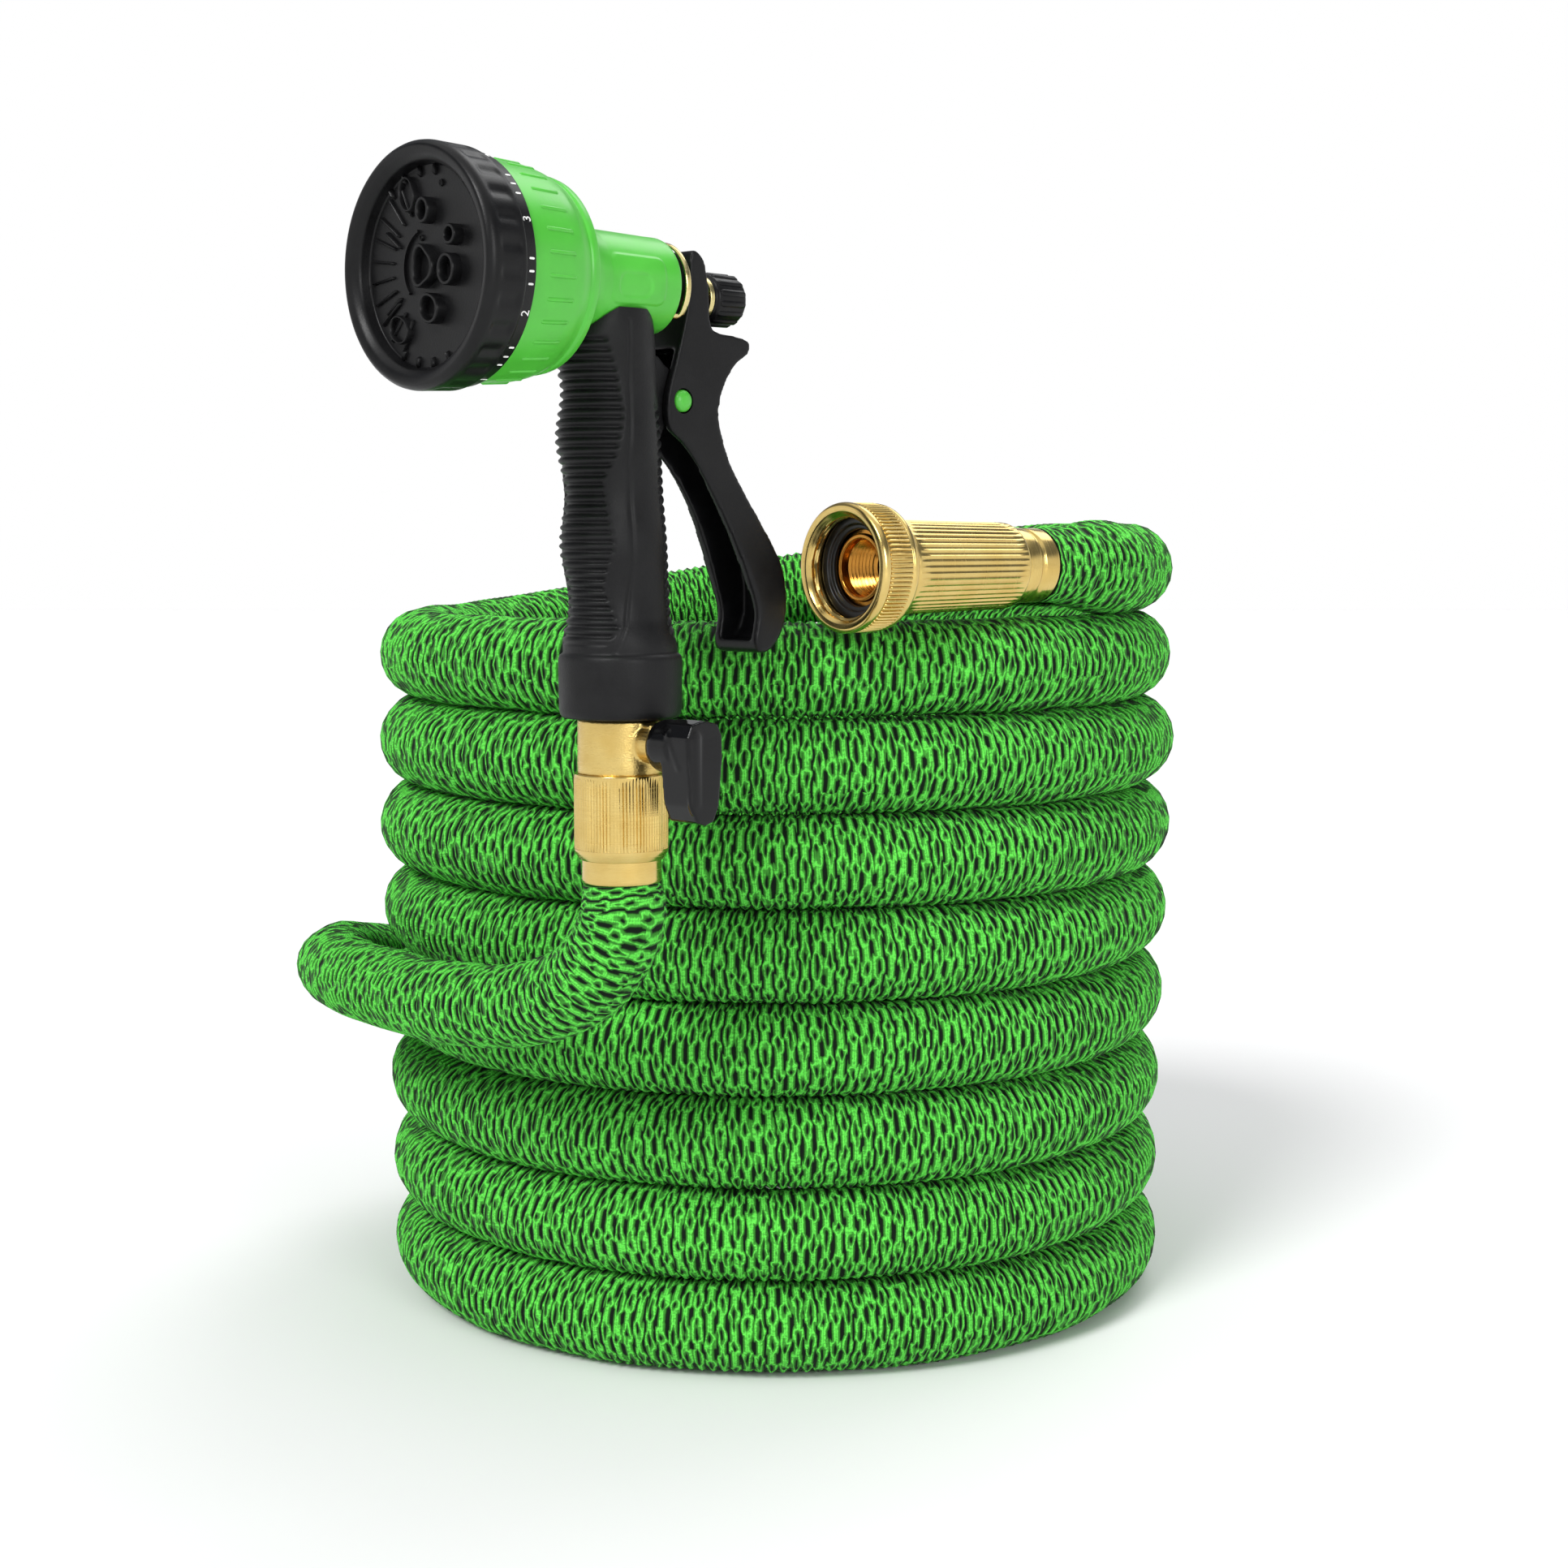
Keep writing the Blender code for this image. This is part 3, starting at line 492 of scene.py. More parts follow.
def ridge(start, end, width, rise, up):
    """Closed bar with a rounded back from start to end, lower at its ends."""
    start, end, up = Vector(start), Vector(end), Vector(up).normalized()
    way = (end - start).normalized()
    side = up.cross(way).normalized()
    outline = ((-0.5, -0.5), (-0.45, 0.35), (-0.25, 0.85), (0.0, 1.0), (0.25, 0.85),
               (0.45, 0.35), (0.5, -0.5))
    cap = min(width / 2, (end - start).length / 4)
    rings = []
    for at, grown in ((start, 0.3), (start + way * cap, 1.0), (end - way * cap, 1.0),
                      (end, 0.3)):
        rings.append([tuple(at + side * (x * width * (0.5 + 0.5 * grown))
                            + up * (y * rise * (grown if y > 0 else 1.0)))
                      for x, y in outline])
    return ring_mesh("ridge", np.array(rings))


def rosette_tree():
    """Geometry Nodes tree that turns copies of a tooth round local Z, made once."""
    tree = bpy.data.node_groups.get("rosette")
    if tree is not None:
        return tree
    tree = bpy.data.node_groups.new("rosette", "GeometryNodeTree")
    tree.interface.new_socket("Geometry", in_out="OUTPUT", socket_type="NodeSocketGeometry")
    for name, kind in (("Tooth", "Geometry"), ("Count", "Int"), ("Step", "Float"),
                       ("First", "Float"), ("Material", "Material")):
        tree.interface.new_socket(name, in_out="INPUT", socket_type="NodeSocket" + kind)
    given = tree.nodes.new("NodeGroupInput").outputs
    spots = add(tree, "GeometryNodeMeshLine", {"Count": given["Count"], "Offset": (0, 0, 0)})
    turn = add(tree, "ShaderNodeMath", {0: add(tree, "GeometryNodeInputIndex"),
                                        1: given["Step"], 2: given["First"]},
               operation="MULTIPLY_ADD")
    rotation = add(tree, "FunctionNodeEulerToRotation",
                   {0: add(tree, "ShaderNodeCombineXYZ", {"Z": turn})})
    copies = add(tree, "GeometryNodeInstanceOnPoints",
                 {"Points": spots, "Instance": given["Tooth"], "Rotation": rotation})
    real = add(tree, "GeometryNodeRealizeInstances", {0: copies})
    dressed = add(tree, "GeometryNodeSetMaterial",
                  {"Geometry": real, "Material": given["Material"]})
    add(tree, "NodeGroupOutput", {0: dressed})
    return tree


def plain_mesh(obj, name):
    """The evaluated mesh of an object, which is then removed."""
    evaluated = obj.evaluated_get(bpy.context.evaluated_depsgraph_get())
    mesh = bpy.data.meshes.new_from_object(evaluated)
    mesh.name = name
    bpy.data.objects.remove(obj, do_unlink=True)
    return mesh


def repeated(tooth, count, mat, step=None, first=0.0):
    """Copies of a tooth turned round local Z, a step apart or all the way round."""
    obj = linked("loose", tooth)
    tree = rosette_tree()
    sockets = {item.name: item.identifier for item in tree.interface.items_tree
               if item.in_out == "INPUT"}
    modifier = obj.modifiers.new("rosette", "NODES")
    modifier.node_group = tree
    modifier[sockets["Count"]] = count
    modifier[sockets["Step"]] = step if step is not None else 2 * math.pi / count
    modifier[sockets["First"]] = first
    modifier[sockets["Material"]] = mat
    return plain_mesh(obj, "repeated")


def plate(outline, half_width):
    """Plate with its outline in the XZ plane; half_width(z) is its reach in Y."""
    bm = bmesh.new()
    sides = []
    for side in (1, -1):
        sides.append([bm.verts.new((x, side, z)) for x, z in outline])
    for ring in sides:
        bm.faces.new(ring)
    for i in range(len(outline)):
        j = (i + 1) % len(outline)
        bm.faces.new((sides[0][i], sides[0][j], sides[1][j], sides[1][i]))
    bm.normal_update()
    bmesh.ops.triangulate(bm, faces=[face for face in bm.faces if len(face.verts) > 4])
    for vert in bm.verts:
        vert.co.y *= half_width(vert.co.z)
    return mesh_of(bm, "plate")


def cut(mesh, *cutters):
    """The mesh with cutters taken out of it."""
    obj = linked("loose", mesh)
    tools = [linked("tool", cutter) for cutter in cutters]
    for tool in tools:
        modifier = obj.modifiers.new("cut", "BOOLEAN")
        modifier.operation = "DIFFERENCE"
        modifier.solver = "EXACT"
        modifier.object = tool
    result = plain_mesh(obj, "cut")
    for tool in tools:
        bpy.data.objects.remove(tool, do_unlink=True)
    return result


def softened(mesh, voxel, rounds):
    """One moulded skin over closed shapes that overlap, with its edges softened."""
    obj = linked("loose", mesh)
    remesh = obj.modifiers.new("skin", "REMESH")
    remesh.mode = "VOXEL"
    remesh.voxel_size = voxel
    smooth = obj.modifiers.new("soften", "SMOOTH")
    smooth.factor = 0.5
    smooth.iterations = rounds
    return plain_mesh(obj, "softened")


def smooth_curve(route, spacing):
    """Points on a smooth curve through the route's own points."""
    points = [Vector(p) for p in route]
    padded = [2 * points[0] - points[1]] + points + [2 * points[-1] - points[-2]]
    result = [points[0]]
    for before, start, end, after in zip(padded, padded[1:], padded[2:], padded[3:]):
        steps = max(1, round((end - start).length / spacing))
        for step in range(1, steps + 1):
            t = step / steps
            result.append(0.5 * ((2 * start) + (end - before) * t
                                 + (2 * before - 5 * start + 4 * end - after) * t ** 2
                                 + (3 * start - before - 3 * end + after) * t ** 3))
    return result


def eased(value, low, high):
    """Share from 0 to 1 of the way from low to high, eased at both ends."""
    share = np.clip((value - low) / (high - low), 0.0, 1.0)
    return share * share * (3 - 2 * share)


def between(value, rise_from, rise_to, fall_from, fall_to):
    """Share that eases in over one stretch of the value and out over a later one."""
    return eased(value, rise_from, rise_to) * (1 - eased(value, fall_from, fall_to))


# the hose, as one cord from the tap fitting to the nozzle

INLET_BACK = 0.0689             # length of the tap fitting behind its mouth
STRAIGHT = 0.010                # straight length where the hose leaves a fitting
COLLAR_GRIP_R, FERRULE_GRIP_R = 0.0098, 0.0094    # sleeve at the tap's and the nozzle's end
FERRULE_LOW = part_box("outlet_ferrule")[0].z
# points as (degrees round the stack, distance from its middle, height)
TOP_START = (-33.2, 0.1068, 0.0136)
TOP_FIRST = math.radians(-24)
SIDE_R = 0.1315
LOOSE_ROUTE = [
    (50, SIDE_R, 0.0128), (65, SIDE_R, 0.0150), (80, SIDE_R, 0.0210), (95, SIDE_R, 0.0310),
    (110, SIDE_R, 0.0430), (125, SIDE_R, 0.0560), (140, SIDE_R, 0.0690), (155, SIDE_R, 0.0800),
    (170, SIDE_R, 0.0890), (185, SIDE_R, 0.0945), (198, 0.1314, 0.0975), (210.8, 0.1314, 0.0988),
    (222.4, 0.1336, 0.1000), (233.4, 0.1401, 0.1015), (243.0, 0.1465, 0.1045),
    (249.7, 0.1528, 0.1095), (254.05, 0.1572, 0.1175),
]
POINTS_PER_TURN = 34
# how far each turn, from the top one down, lies out of the stack's circle
TURN_DRIFT = (-0.0006, -0.0008, 0.0004, -0.0004, -0.0010, -0.0018, -0.0024, -0.0026, -0.0026)
DROP_FROM, DROP_TO = math.radians(25), math.radians(168)     # where a turn drops, at the back
LEAVE_FROM, LEAVE_TO = math.radians(4), math.radians(50)     # where the last turn moves out


def round_stack(degrees, radius, height):
    angle = math.radians(degrees)
    return STACK_AT + Vector((radius * math.cos(angle), radius * math.sin(angle), height))


def hose_route(hose):
    """Centreline of the whole hose, from the tap fitting to the nozzle."""
    thick = hose.thickness
    exit_at = INLET @ Vector((0, 0, -INLET_BACK - GAP))
    beyond = INLET @ Vector((0, 0, -INLET_BACK - GAP - STRAIGHT))
    top = STACK_HIGH.z
    degrees, out, rise = TOP_START
    route = [exit_at, beyond, round_stack(degrees, out, top + rise)]
    last = 2 * math.pi * hose.turns + LEAVE_TO
    total = int((last - TOP_FIRST) / (2 * math.pi) * POINTS_PER_TURN)
    for step in range(total):
        angle = TOP_FIRST + (last - TOP_FIRST) * step / total
        turn = angle / (2 * math.pi)
        drops = sum(eased(angle - 2 * math.pi * k, DROP_FROM, DROP_TO)
                    for k in range(hose.turns))
        height = (hose.turns + 0.5 - drops) * thick + GAP
        low = min(int(max(turn, 0)), hose.turns - 1)
        share = max(turn, 0) - low
        drift = TURN_DRIFT[low] + (TURN_DRIFT[low + 1] - TURN_DRIFT[low]) * share
        leaving = eased(angle - 2 * math.pi * hose.turns, LEAVE_FROM, LEAVE_TO)
        radius = hose.coil_radius + drift * (1 - leaving)
        radius += (SIDE_R - hose.coil_radius) * leaving
        route.append(round_stack(math.degrees(angle), radius, height))
    route += [round_stack(*point) for point in LOOSE_ROUTE]
    end = Vector((DIAL_AT.x, DIAL_AT.y, FERRULE_LOW - GAP))
    route += [end - Vector((0, 0, STRAIGHT)), end]
    return route


def even_points(points, spacing):
    """The same line with points an even distance apart, as an array."""
    line = np.array([tuple(p) for p in points])
    steps = np.linalg.norm(np.diff(line, axis=0), axis=1)
    travelled = np.concatenate([[0], np.cumsum(steps)])
    count = int(round(travelled[-1] / spacing))
    wanted = np.linspace(0, travelled[-1], count + 1)
    even = np.stack([np.interp(wanted, travelled, line[:, k]) for k in range(3)], axis=1)
    return even, travelled[-1]


def carried_frames(line):
    """Two directions across a line at each point, carried along it without twist."""
    tangents = np.gradient(line, axis=0)
    tangents /= np.linalg.norm(tangents, axis=1)[:, None]
    across = np.zeros_like(line)
    first = np.cross(tangents[0], (0, 0, 1))
    across[0] = first / np.linalg.norm(first)
    for i in range(1, len(line)):
        kept = across[i - 1] - tangents[i] * np.dot(across[i - 1], tangents[i])
        across[i] = kept / np.linalg.norm(kept)
    return tangents, across, np.cross(tangents, across)


def ripple(along, round_, waves, seed):
    """Smooth unevenness over the sleeve, closed round the hose, between about -1 and 1."""
    rng = np.random.default_rng(seed)
    total = np.zeros(np.broadcast(along, round_).shape)
    for pitch, loops in waves:
        for loop in range(loops + 1):
            phase, lean = rng.uniform(0, 2 * math.pi, 2)
            total += np.sin(along / pitch + phase + loop * round_
                            + 0.7 * np.sin(0.31 * along / pitch + lean))
    return total / math.sqrt(sum(loops + 1 for _, loops in waves))


CREST, VALLEY = 0.00030, -0.00050    # of a pleat, from the sleeve's mean skin
SWELL, SLIDE = 0.00022, 0.0007       # unevenness across and along the sleeve
LOOPS_ROUND = 9                      # yarn loops round the sleeve


def hose_mesh(line, radii, sides=22):
    """Tube with a crest and a valley for each pleat, and a UV map that counts them."""
    tangents, across, over = carried_frames(line)
    rings = len(line)
    ring = np.arange(rings)[:, None]
    turn = 2 * math.pi * np.arange(sides)[None, :] / sides
    ends = np.minimum(ring, rings - 1 - ring)
    free = np.clip((ends - 2) / 6, 0, 1)
    crest = np.where(ring % 2 == 0, CREST, VALLEY)
    swell = SWELL * ripple(ring * 0.5, turn, ((2.3, 3), (7.0, 2)), 5)
    radius = radii[:, None] + free * (crest + swell)
    slide = SLIDE * free * ripple(ring * 0.5, turn, ((5.0, 2), (13.0, 1)), 11)
    spots = (line[:, None, :] + tangents[:, None, :] * slide[..., None]
             + across[:, None, :] * (radius * np.cos(turn))[..., None]
             + over[:, None, :] * (radius * np.sin(turn))[..., None])
    mesh = bpy.data.meshes.new("fabric_hose")
    mesh.from_pydata(spots.reshape(-1, 3).tolist(), [], tube_faces(rings, sides))
    layer = mesh.uv_layers.new(name="sleeve")
    i = np.arange(rings - 1)[:, None]
    j = np.arange(sides)[None, :]
    along = np.stack([i + 0 * j, i + 0 * j, i + 1 + 0 * j, i + 1 + 0 * j], axis=-1) * 0.5
    round_ = np.stack([j + 0 * i, j + 1 + 0 * i, j + 1 + 0 * i, j + 0 * i], axis=-1)
    uv = np.zeros((len(mesh.loops), 2))
    sewn = along.size
    uv[:sewn, 0] = along.reshape(-1)
    uv[:sewn, 1] = round_.reshape(-1) * LOOPS_ROUND / sides
    uv[sewn:sewn + sides, 0] = 0.0
    uv[sewn + sides:, 0] = (rings - 1) * 0.5
    layer.data.foreach_set("uv", uv.reshape(-1))
    return mesh


class HOSE_OT_sleeve(bpy.types.Operator):
    """Make the fabric hose: stack, top turn and loose end in one piece"""

    bl_idname = "garden_hose.sleeve"
    bl_label = "Fabric hose"

    def execute(self, context):
        hose = settings()
        line, length = even_points(smooth_curve(hose_route(hose), 0.0015), hose.pleat / 2)
        share = np.linspace(0, 1, len(line)) * length
        loose = length - share
        radii = np.full(len(line), hose.thickness / 2)
        # the collar draws the sleeve in over 30 mm, and water draws the nozzle's end thin
        radii += (COLLAR_GRIP_R - radii) * (1 - eased(share, 0.0, 0.030)) * 0.96
        radii += (hose.drawn / 2 - hose.thickness / 2) * (1 - eased(loose, 0.10, 0.30))
        radii += (FERRULE_GRIP_R - hose.drawn / 2) * (1 - eased(loose, 0.0, 0.006))
        mesh = hose_mesh(line, radii)
        obj = place_mesh("fabric_hose", mesh, Matrix.Identity(4), sleeve_material(), "hose",
                         "hose_coil", "hose_top_turn", "hose_loose_end",
                         slot="sleeve_fabric", sharp=80)
        return {"FINISHED"}


# the tap fitting, which lies on the stack with its mouth to the front

NUT_BORE_R = 0.0133
STEM_R = 0.0093
KNURL_R = 0.0158


def thread_relief(radius, place, angle):
    """Ridge of the tap thread, wound round the nut's bore."""
    pitch = settings("hose_fittings").thread_pitch
    wave = np.cos(2 * math.pi * (place / pitch) - angle)
    along = between(-place, 0.0010, 0.0018, 0.0044, 0.0048) * (np.abs(radius - NUT_BORE_R) < 1e-5)
    return -0.0007 * along * np.clip(0.35 + wave, 0, 1)


def flute_relief(radius, place, angle):
    """Shallow flutes along the long sleeve, which fade out at its ends."""
    count = settings("hose_fittings").flutes
    along = between(-place, 0.0172, 0.0186, 0.0536, 0.0550)
    return -0.00030 * along * np.abs(np.sin(count * angle / 2)) * (radius > 0.0105)


class HOSE_OT_tap_fitting(bpy.types.Operator):
    """Make the brass fitting for the tap, from its nut to the collar on the hose"""

    bl_idname = "garden_hose.tap_fitting"
    bl_label = "Tap fitting"

    def execute(self, context):
        sizes = settings("hose_fittings")
        self.nut(sizes)
        seal = [(0.0098, -0.0060, 0.0004), (0.0108, -0.0060, 0.0002), (0.0111, -0.0050, 0.0003),
                (0.0130, -0.0048, 0.0004), (0.0130, -0.0074), (0.0098, -0.0074, 0.0003)]
        turned_piece("tap_seal", seal, 96, INLET, seal_rubber(), "hose", "inlet_seal",
                     slot="seal_rubber")
        self.stem()
        self.sleeve()
        collar = [(0.0088, -0.0571), (0.0101, -0.0571, 0.0003), (0.0101, -0.0616, 0.0005),
                  (0.0094, -0.0622, 0.0002), (0.0094, -0.0630, 0.0002),
                  (0.0099, -0.0636, 0.0004), (0.0099, -0.0683, 0.0005), (0.0094, -0.0689, 0.0002),
                  (0.0088, -0.0689)]
        turned_piece("tap_collar", collar, 96, INLET, turned_brass(), "hose", "inlet_collar",
                     slot="turned_brass")
        return {"FINISHED"}

    def nut(self, sizes):
        profile = [*run(NUT_BORE_R, -0.0102, -0.0012, 46), (0.0141, -0.0003, 0.0002),
                   (0.0157, 0.0, 0.0007), (0.01645, -0.0009, 0.0006), (0.01645, -0.0022, 0.0004),
                   (KNURL_R, -0.0028, 0.0002), (KNURL_R, -0.0103, 0.0002),
                   (0.0162, -0.0107, 0.0003), (0.0160, -0.0120, 0.0006),
                   (0.0146, -0.0130, 0.0004), (STEM_R + GAP, -0.0130), (STEM_R + GAP, -0.0102)]
        mat = turned_brass()
        body = turned("tap_nut", profile, 160, thread_relief)
        tooth = ridge((KNURL_R, 0, -0.0101), (KNURL_R, 0, -0.0030), 0.00078, 0.00052, (1, 0, 0))
        mesh = merged(body, repeated(tooth, sizes.nut_ribs, mat))
        place_mesh("tap_nut", mesh, INLET, mat, "swivel_nut", "swivel_nut", slot="turned_brass")

    def stem(self):
        rings = []
        for i in range(7):
            z, shrink = -0.0088 - 0.0011 * i, 0.0001 * i
            rings += [(0.0072 - shrink, z), (0.0066 - shrink, z - 0.0005),
                      (0.0072 - shrink, z - 0.0010)]
        profile = [(0.0130, -0.0077, 0.0002), (0.0085, -0.0077, 0.0002), (0.0085, -0.0064, 0.0003),
                   (0.0074, -0.0064, 0.0003), (0.0072, -0.0084), *rings, (0.0055, -0.0172),
                   (0.0055, -0.0330), (STEM_R, -0.0330), (STEM_R, -0.0099),
                   (0.0130, -0.0099, 0.0002)]
        turned_piece("tap_stem", profile, 96, INLET, deep_brass(), "hose", "inlet_stem",
                     slot="turned_brass")

    def sleeve(self):
        body = run(0.0121, -0.0168, -0.0554, 24, 0.0114)
        profile = [(STEM_R + GAP, -0.0133), (0.0119, -0.0133, 0.0003), (0.0129, -0.0139, 0.0004),
                   (0.0129, -0.0152, 0.0004), (0.0119, -0.0158, 0.0002), (0.0121, -0.0163, 0.0002),
                   *body, (0.0113, -0.0562, 0.0006), (0.0102, -0.0568, 0.0003),
                   (STEM_R + GAP, -0.0568)]
        turned_piece("tap_sleeve", profile, 400, INLET, turned_brass(), "hose", "inlet_sleeve",
                     slot="turned_brass", relief=flute_relief)


# the fitting under the nozzle, with its shut-off valve

KNURL_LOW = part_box("outlet_sleeve")[0].z
VALVE_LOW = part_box("outlet_sleeve")[1].z + GAP
COLLAR_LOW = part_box("nozzle_grip")[0].z


def knurl_relief(radius, place, angle):
    """Fine upright lines on the short sleeve, deeper in some places than in others."""
    count = settings("hose_fittings").knurls
    along = between(place, KNURL_LOW + 0.0026, KNURL_LOW + 0.0034,
                    VALVE_LOW - 0.0020, VALVE_LOW - 0.0012)
    depth = 0.00010 + 0.00006 * np.sin(5 * angle + 1.3) * np.sin(11 * angle)
    groove = (0.5 + 0.5 * np.cos(count * angle)) ** 2
    return -depth * 2.2 * along * groove * (radius > 0.0110)


class HOSE_OT_valve_fitting(bpy.types.Operator):
    """Make the brass fitting under the nozzle, its shut-off valve and the lever"""

    bl_idname = "garden_hose.valve_fitting"
    bl_label = "Valve fitting"

    def execute(self, context):
        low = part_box("outlet_ferrule")[0].z
        ferrule = [(0, low), (0.0092, low, 0.0002), (0.0096, low + 0.0006, 0.0004),
                   (0.0095, KNURL_LOW + 0.004), (0, KNURL_LOW + 0.004)]
        turned_piece("valve_ferrule", ferrule, 96, NOZZLE, turned_brass(), "hose",
                     "outlet_ferrule", slot="turned_brass")
        wall = run(0.0113, KNURL_LOW + 0.0022, VALVE_LOW - 0.0008, 16)
        sleeve = [(0.0098, KNURL_LOW), (0.0101, KNURL_LOW, 0.0002),
                  (0.01125, KNURL_LOW + 0.0019, 0.0008), *wall,
                  (0.0113, VALVE_LOW - GAP, 0.0003), (0.0104, VALVE_LOW - GAP, 0.0002),
                  (0.0100, VALVE_LOW - 0.0011), (0.0098, VALVE_LOW - 0.0011)]
        turned_piece("valve_sleeve", sleeve, 504, NOZZLE, turned_brass(), "hose",
                     "outlet_sleeve", slot="turned_brass", relief=knurl_relief)
        self.valve()
        self.lever()
        return {"FINISHED"}

    def valve(self):
        top = COLLAR_LOW - GAP
        body = [(0, VALVE_LOW - 0.0009), (0.0102, VALVE_LOW - 0.0009, 0.0004),
                (0.0104, VALVE_LOW + 0.001, 0.0003), (0.0103, top, 0.0004), (0, top)]
        sideways = lift(STEM_AT.z) @ ALONG_Y
        boss = moved(turned("boss", [(0, 0.003), (0.0046, 0.003), (0.0043, 0.0112),
                                     (0.0040, 0.0142, 0.0004), (0, 0.0142)], 48), sideways)
        lug = [(0.0085, 0.0), (0.0122, 0.0), (0.0131, 0.0044), (0.0085, 0.0048)]
        lug = moved(plate(lug, lambda z: 0.0023),
                    lift(top - 0.0052) @ Matrix.Rotation(math.pi / 2, 4, "Z"))
        skin = softened(merged(turned("body", body, 96), boss, lug), 0.00033, 7)
        spindle = moved(turned("spindle", [(0, 0.010), (0.002, 0.010), (0.002, 0.0212),
                                           (0, 0.0212)], 24), sideways)
        place_mesh("valve_casting", merged(skin, spindle), NOZZLE, cast_brass(), "hose",
                   "valve_body", slot="turned_brass", sharp=60)

    def lever(self):
        hub = turned("hub", [(0, 0.0147), (0.0058, 0.0147, 0.0010), (0.0064, 0.0165, 0.0008),
                             (0.0062, 0.0225), (0, 0.0225)], 64)
        hub = moved(hub, ALONG_Y)
        side = [(-0.0055, -0.0030), (-0.0056, 0.0026), (-0.0040, 0.0058), (0.0, 0.0066),
                (0.0040, 0.0058), (0.0056, 0.0026), (0.0055, -0.0030), (0.0044, -0.0130),
                (0.0026, -0.0170), (0.0, -0.0178), (-0.0026, -0.0170), (-0.0044, -0.0130)]
        paddle = moved(plate(side, lambda z: 0.0046 + 0.0003 * eased(-z, 0.0, 0.006)),
                       Matrix.Translation((0, 0.0248, 0)))
        rib = ridge((0.0030, 0.0292, 0.0052), (0.0026, 0.0292, -0.0150), 0.0042, 0.0007, (0, 1, 0))
        cheek = ridge((0.0050, 0.0215, 0.0040), (0.0046, 0.0270, -0.0060), 0.0036, 0.0009,
                      (1, 0, 0))
        mesh = softened(merged(hub, paddle, rib, cheek), 0.0003, 9)
        place_mesh("valve_lever", mesh, NOZZLE @ lift(STEM_AT.z), gloss_black(), "valve_handle",
                   "valve_handle", slot="gloss_black_plastic", sharp=70)


# the spray nozzle

BARREL_REAR = -0.0105
BARREL = [
    (0.0, BARREL_REAR), (0.0114, BARREL_REAR, 0.0011), (0.01145, -0.0060), (0.0120, 0.0115),
    (0.0127, 0.0158), (0.0150, 0.0200), (0.0188, 0.0232, 0.0010), (0.0210, 0.0240, 0.0003),
    (0.0221, 0.0243, 0.0003), (0.0225, 0.0262, 0.0004), (0.0221, 0.0269, 0.0002),
    (0.0235, 0.0300, 0.0010), (0.0243, 0.0340), (0.0249, 0.0440), (0.0250, 0.0452, 0.0003),
    (0.0220, 0.0452), (0.0220, 0.0500), (0.0, 0.0500),
]


def neck_radius(forward):
    """Radius of the barrel at a place along it, from its rear to its bell."""
    points = [(p[1], p[0]) for p in BARREL[1:7]]
    return np.interp(forward, [p[0] for p in points], [p[1] for p in points])


def box_distance(across, along, half_across, half_along, corner):
    """Distance outside a rectangle with rounded corners, below zero inside it."""
    over = np.abs(across) - half_across + corner
    beyond = np.abs(along) - half_along + corner
    outside = np.hypot(np.maximum(over, 0), np.maximum(beyond, 0))
    return outside + np.minimum(np.maximum(over, beyond), 0) - corner


def barrel_relief(radius, place, angle):
    """Raised panel on each side of the barrel, with a rounded slot pressed into it."""
    # the distance round the barrel from the middle of its side, at the rear's radius
    across = 0.0119 * (np.mod(angle, math.pi) - math.pi / 2)
    panel = box_distance(across, place - 0.0032, 0.0056, 0.0080, 0.0018)
    slot = box_distance(across + 0.0014, place - 0.0046, 0.0027, 0.0050, 0.0024)
    raised = 0.00028 * (1 - eased(panel, -0.0002, 0.0005))
    return raised - 0.00034 * (1 - eased(slot, -0.0003, 0.0004))


class HOSE_OT_barrel(bpy.types.Operator):
    """Make the lime green barrel with its ribbed bell, and the wire bow behind it"""

    bl_idname = "garden_hose.barrel"
    bl_label = "Barrel"

    def execute(self, context):
        sizes = settings("hose_nozzle")
        mat = lime_plastic()
        neck = [(neck_radius(z), z) for z in np.linspace(-0.0080, 0.0140, 56)]
        profile = [BARREL[0], BARREL[1], *neck, *BARREL[4:]]
        body = turned("barrel", profile, 256, barrel_relief)
        tooth = ridge((0.02415, 0, 0.0330), (0.0246, 0, 0.0408), 0.0010, 0.00042, (1, 0, 0))
        ribs = repeated(tooth, sizes.bell_ribs, mat)
        place_mesh("barrel", merged(body, ribs), BARREL_LINE, mat, "hose", "nozzle_barrel",
                   slot="lime_plastic", sharp=42)
        self.bow()
        return {"FINISHED"}

    def bow(self):
        """Flat wire bow, held by its two legs in the barrel's rear."""
        reach, stand = 0.0102, 0.0027
        first, last = math.radians(-46), math.radians(226)
        back = BARREL_REAR - stand
        line = [(BARREL_REAR - GAP, first), (back + 0.0010, first)]
        line += [(back, first + (last - first) * (i + 1) / 42) for i in range(41)]
        line += [(back + 0.0010, last), (BARREL_REAR - GAP, last)]
        half_wide, half_thick = 0.0008, 0.00045
        corners = [(math.cos(a) * half_wide, math.sin(a) * half_thick)
                   for a in (math.pi / 4 * k + math.pi / 8 for k in range(8))]
        rings = []
        for x, angle in line:
            out = Vector((0, math.cos(angle), math.sin(angle)))
            at = Vector((x, 0, 0)) + out * reach
            along = Vector((0, -math.sin(angle), math.cos(angle)))
            wide = (Vector((1, 0, 0)) if abs(x - back) < 1e-6
                    else along if angle < 1 else -along)
            rings.append([tuple(at + wide * u + out * v) for u, v in corners])
        mesh = ring_mesh("wire_bow", np.array(rings))
        place_mesh("wire_bow", mesh, NOZZLE @ lift(AXIS_Z), plated_steel(), "hose",
                   "spring_wire", slot="plated_wire")


DIAL_BACK = 0.0455
DIAL_FACE = 0.0546
DIAL_FRONT = 0.0590
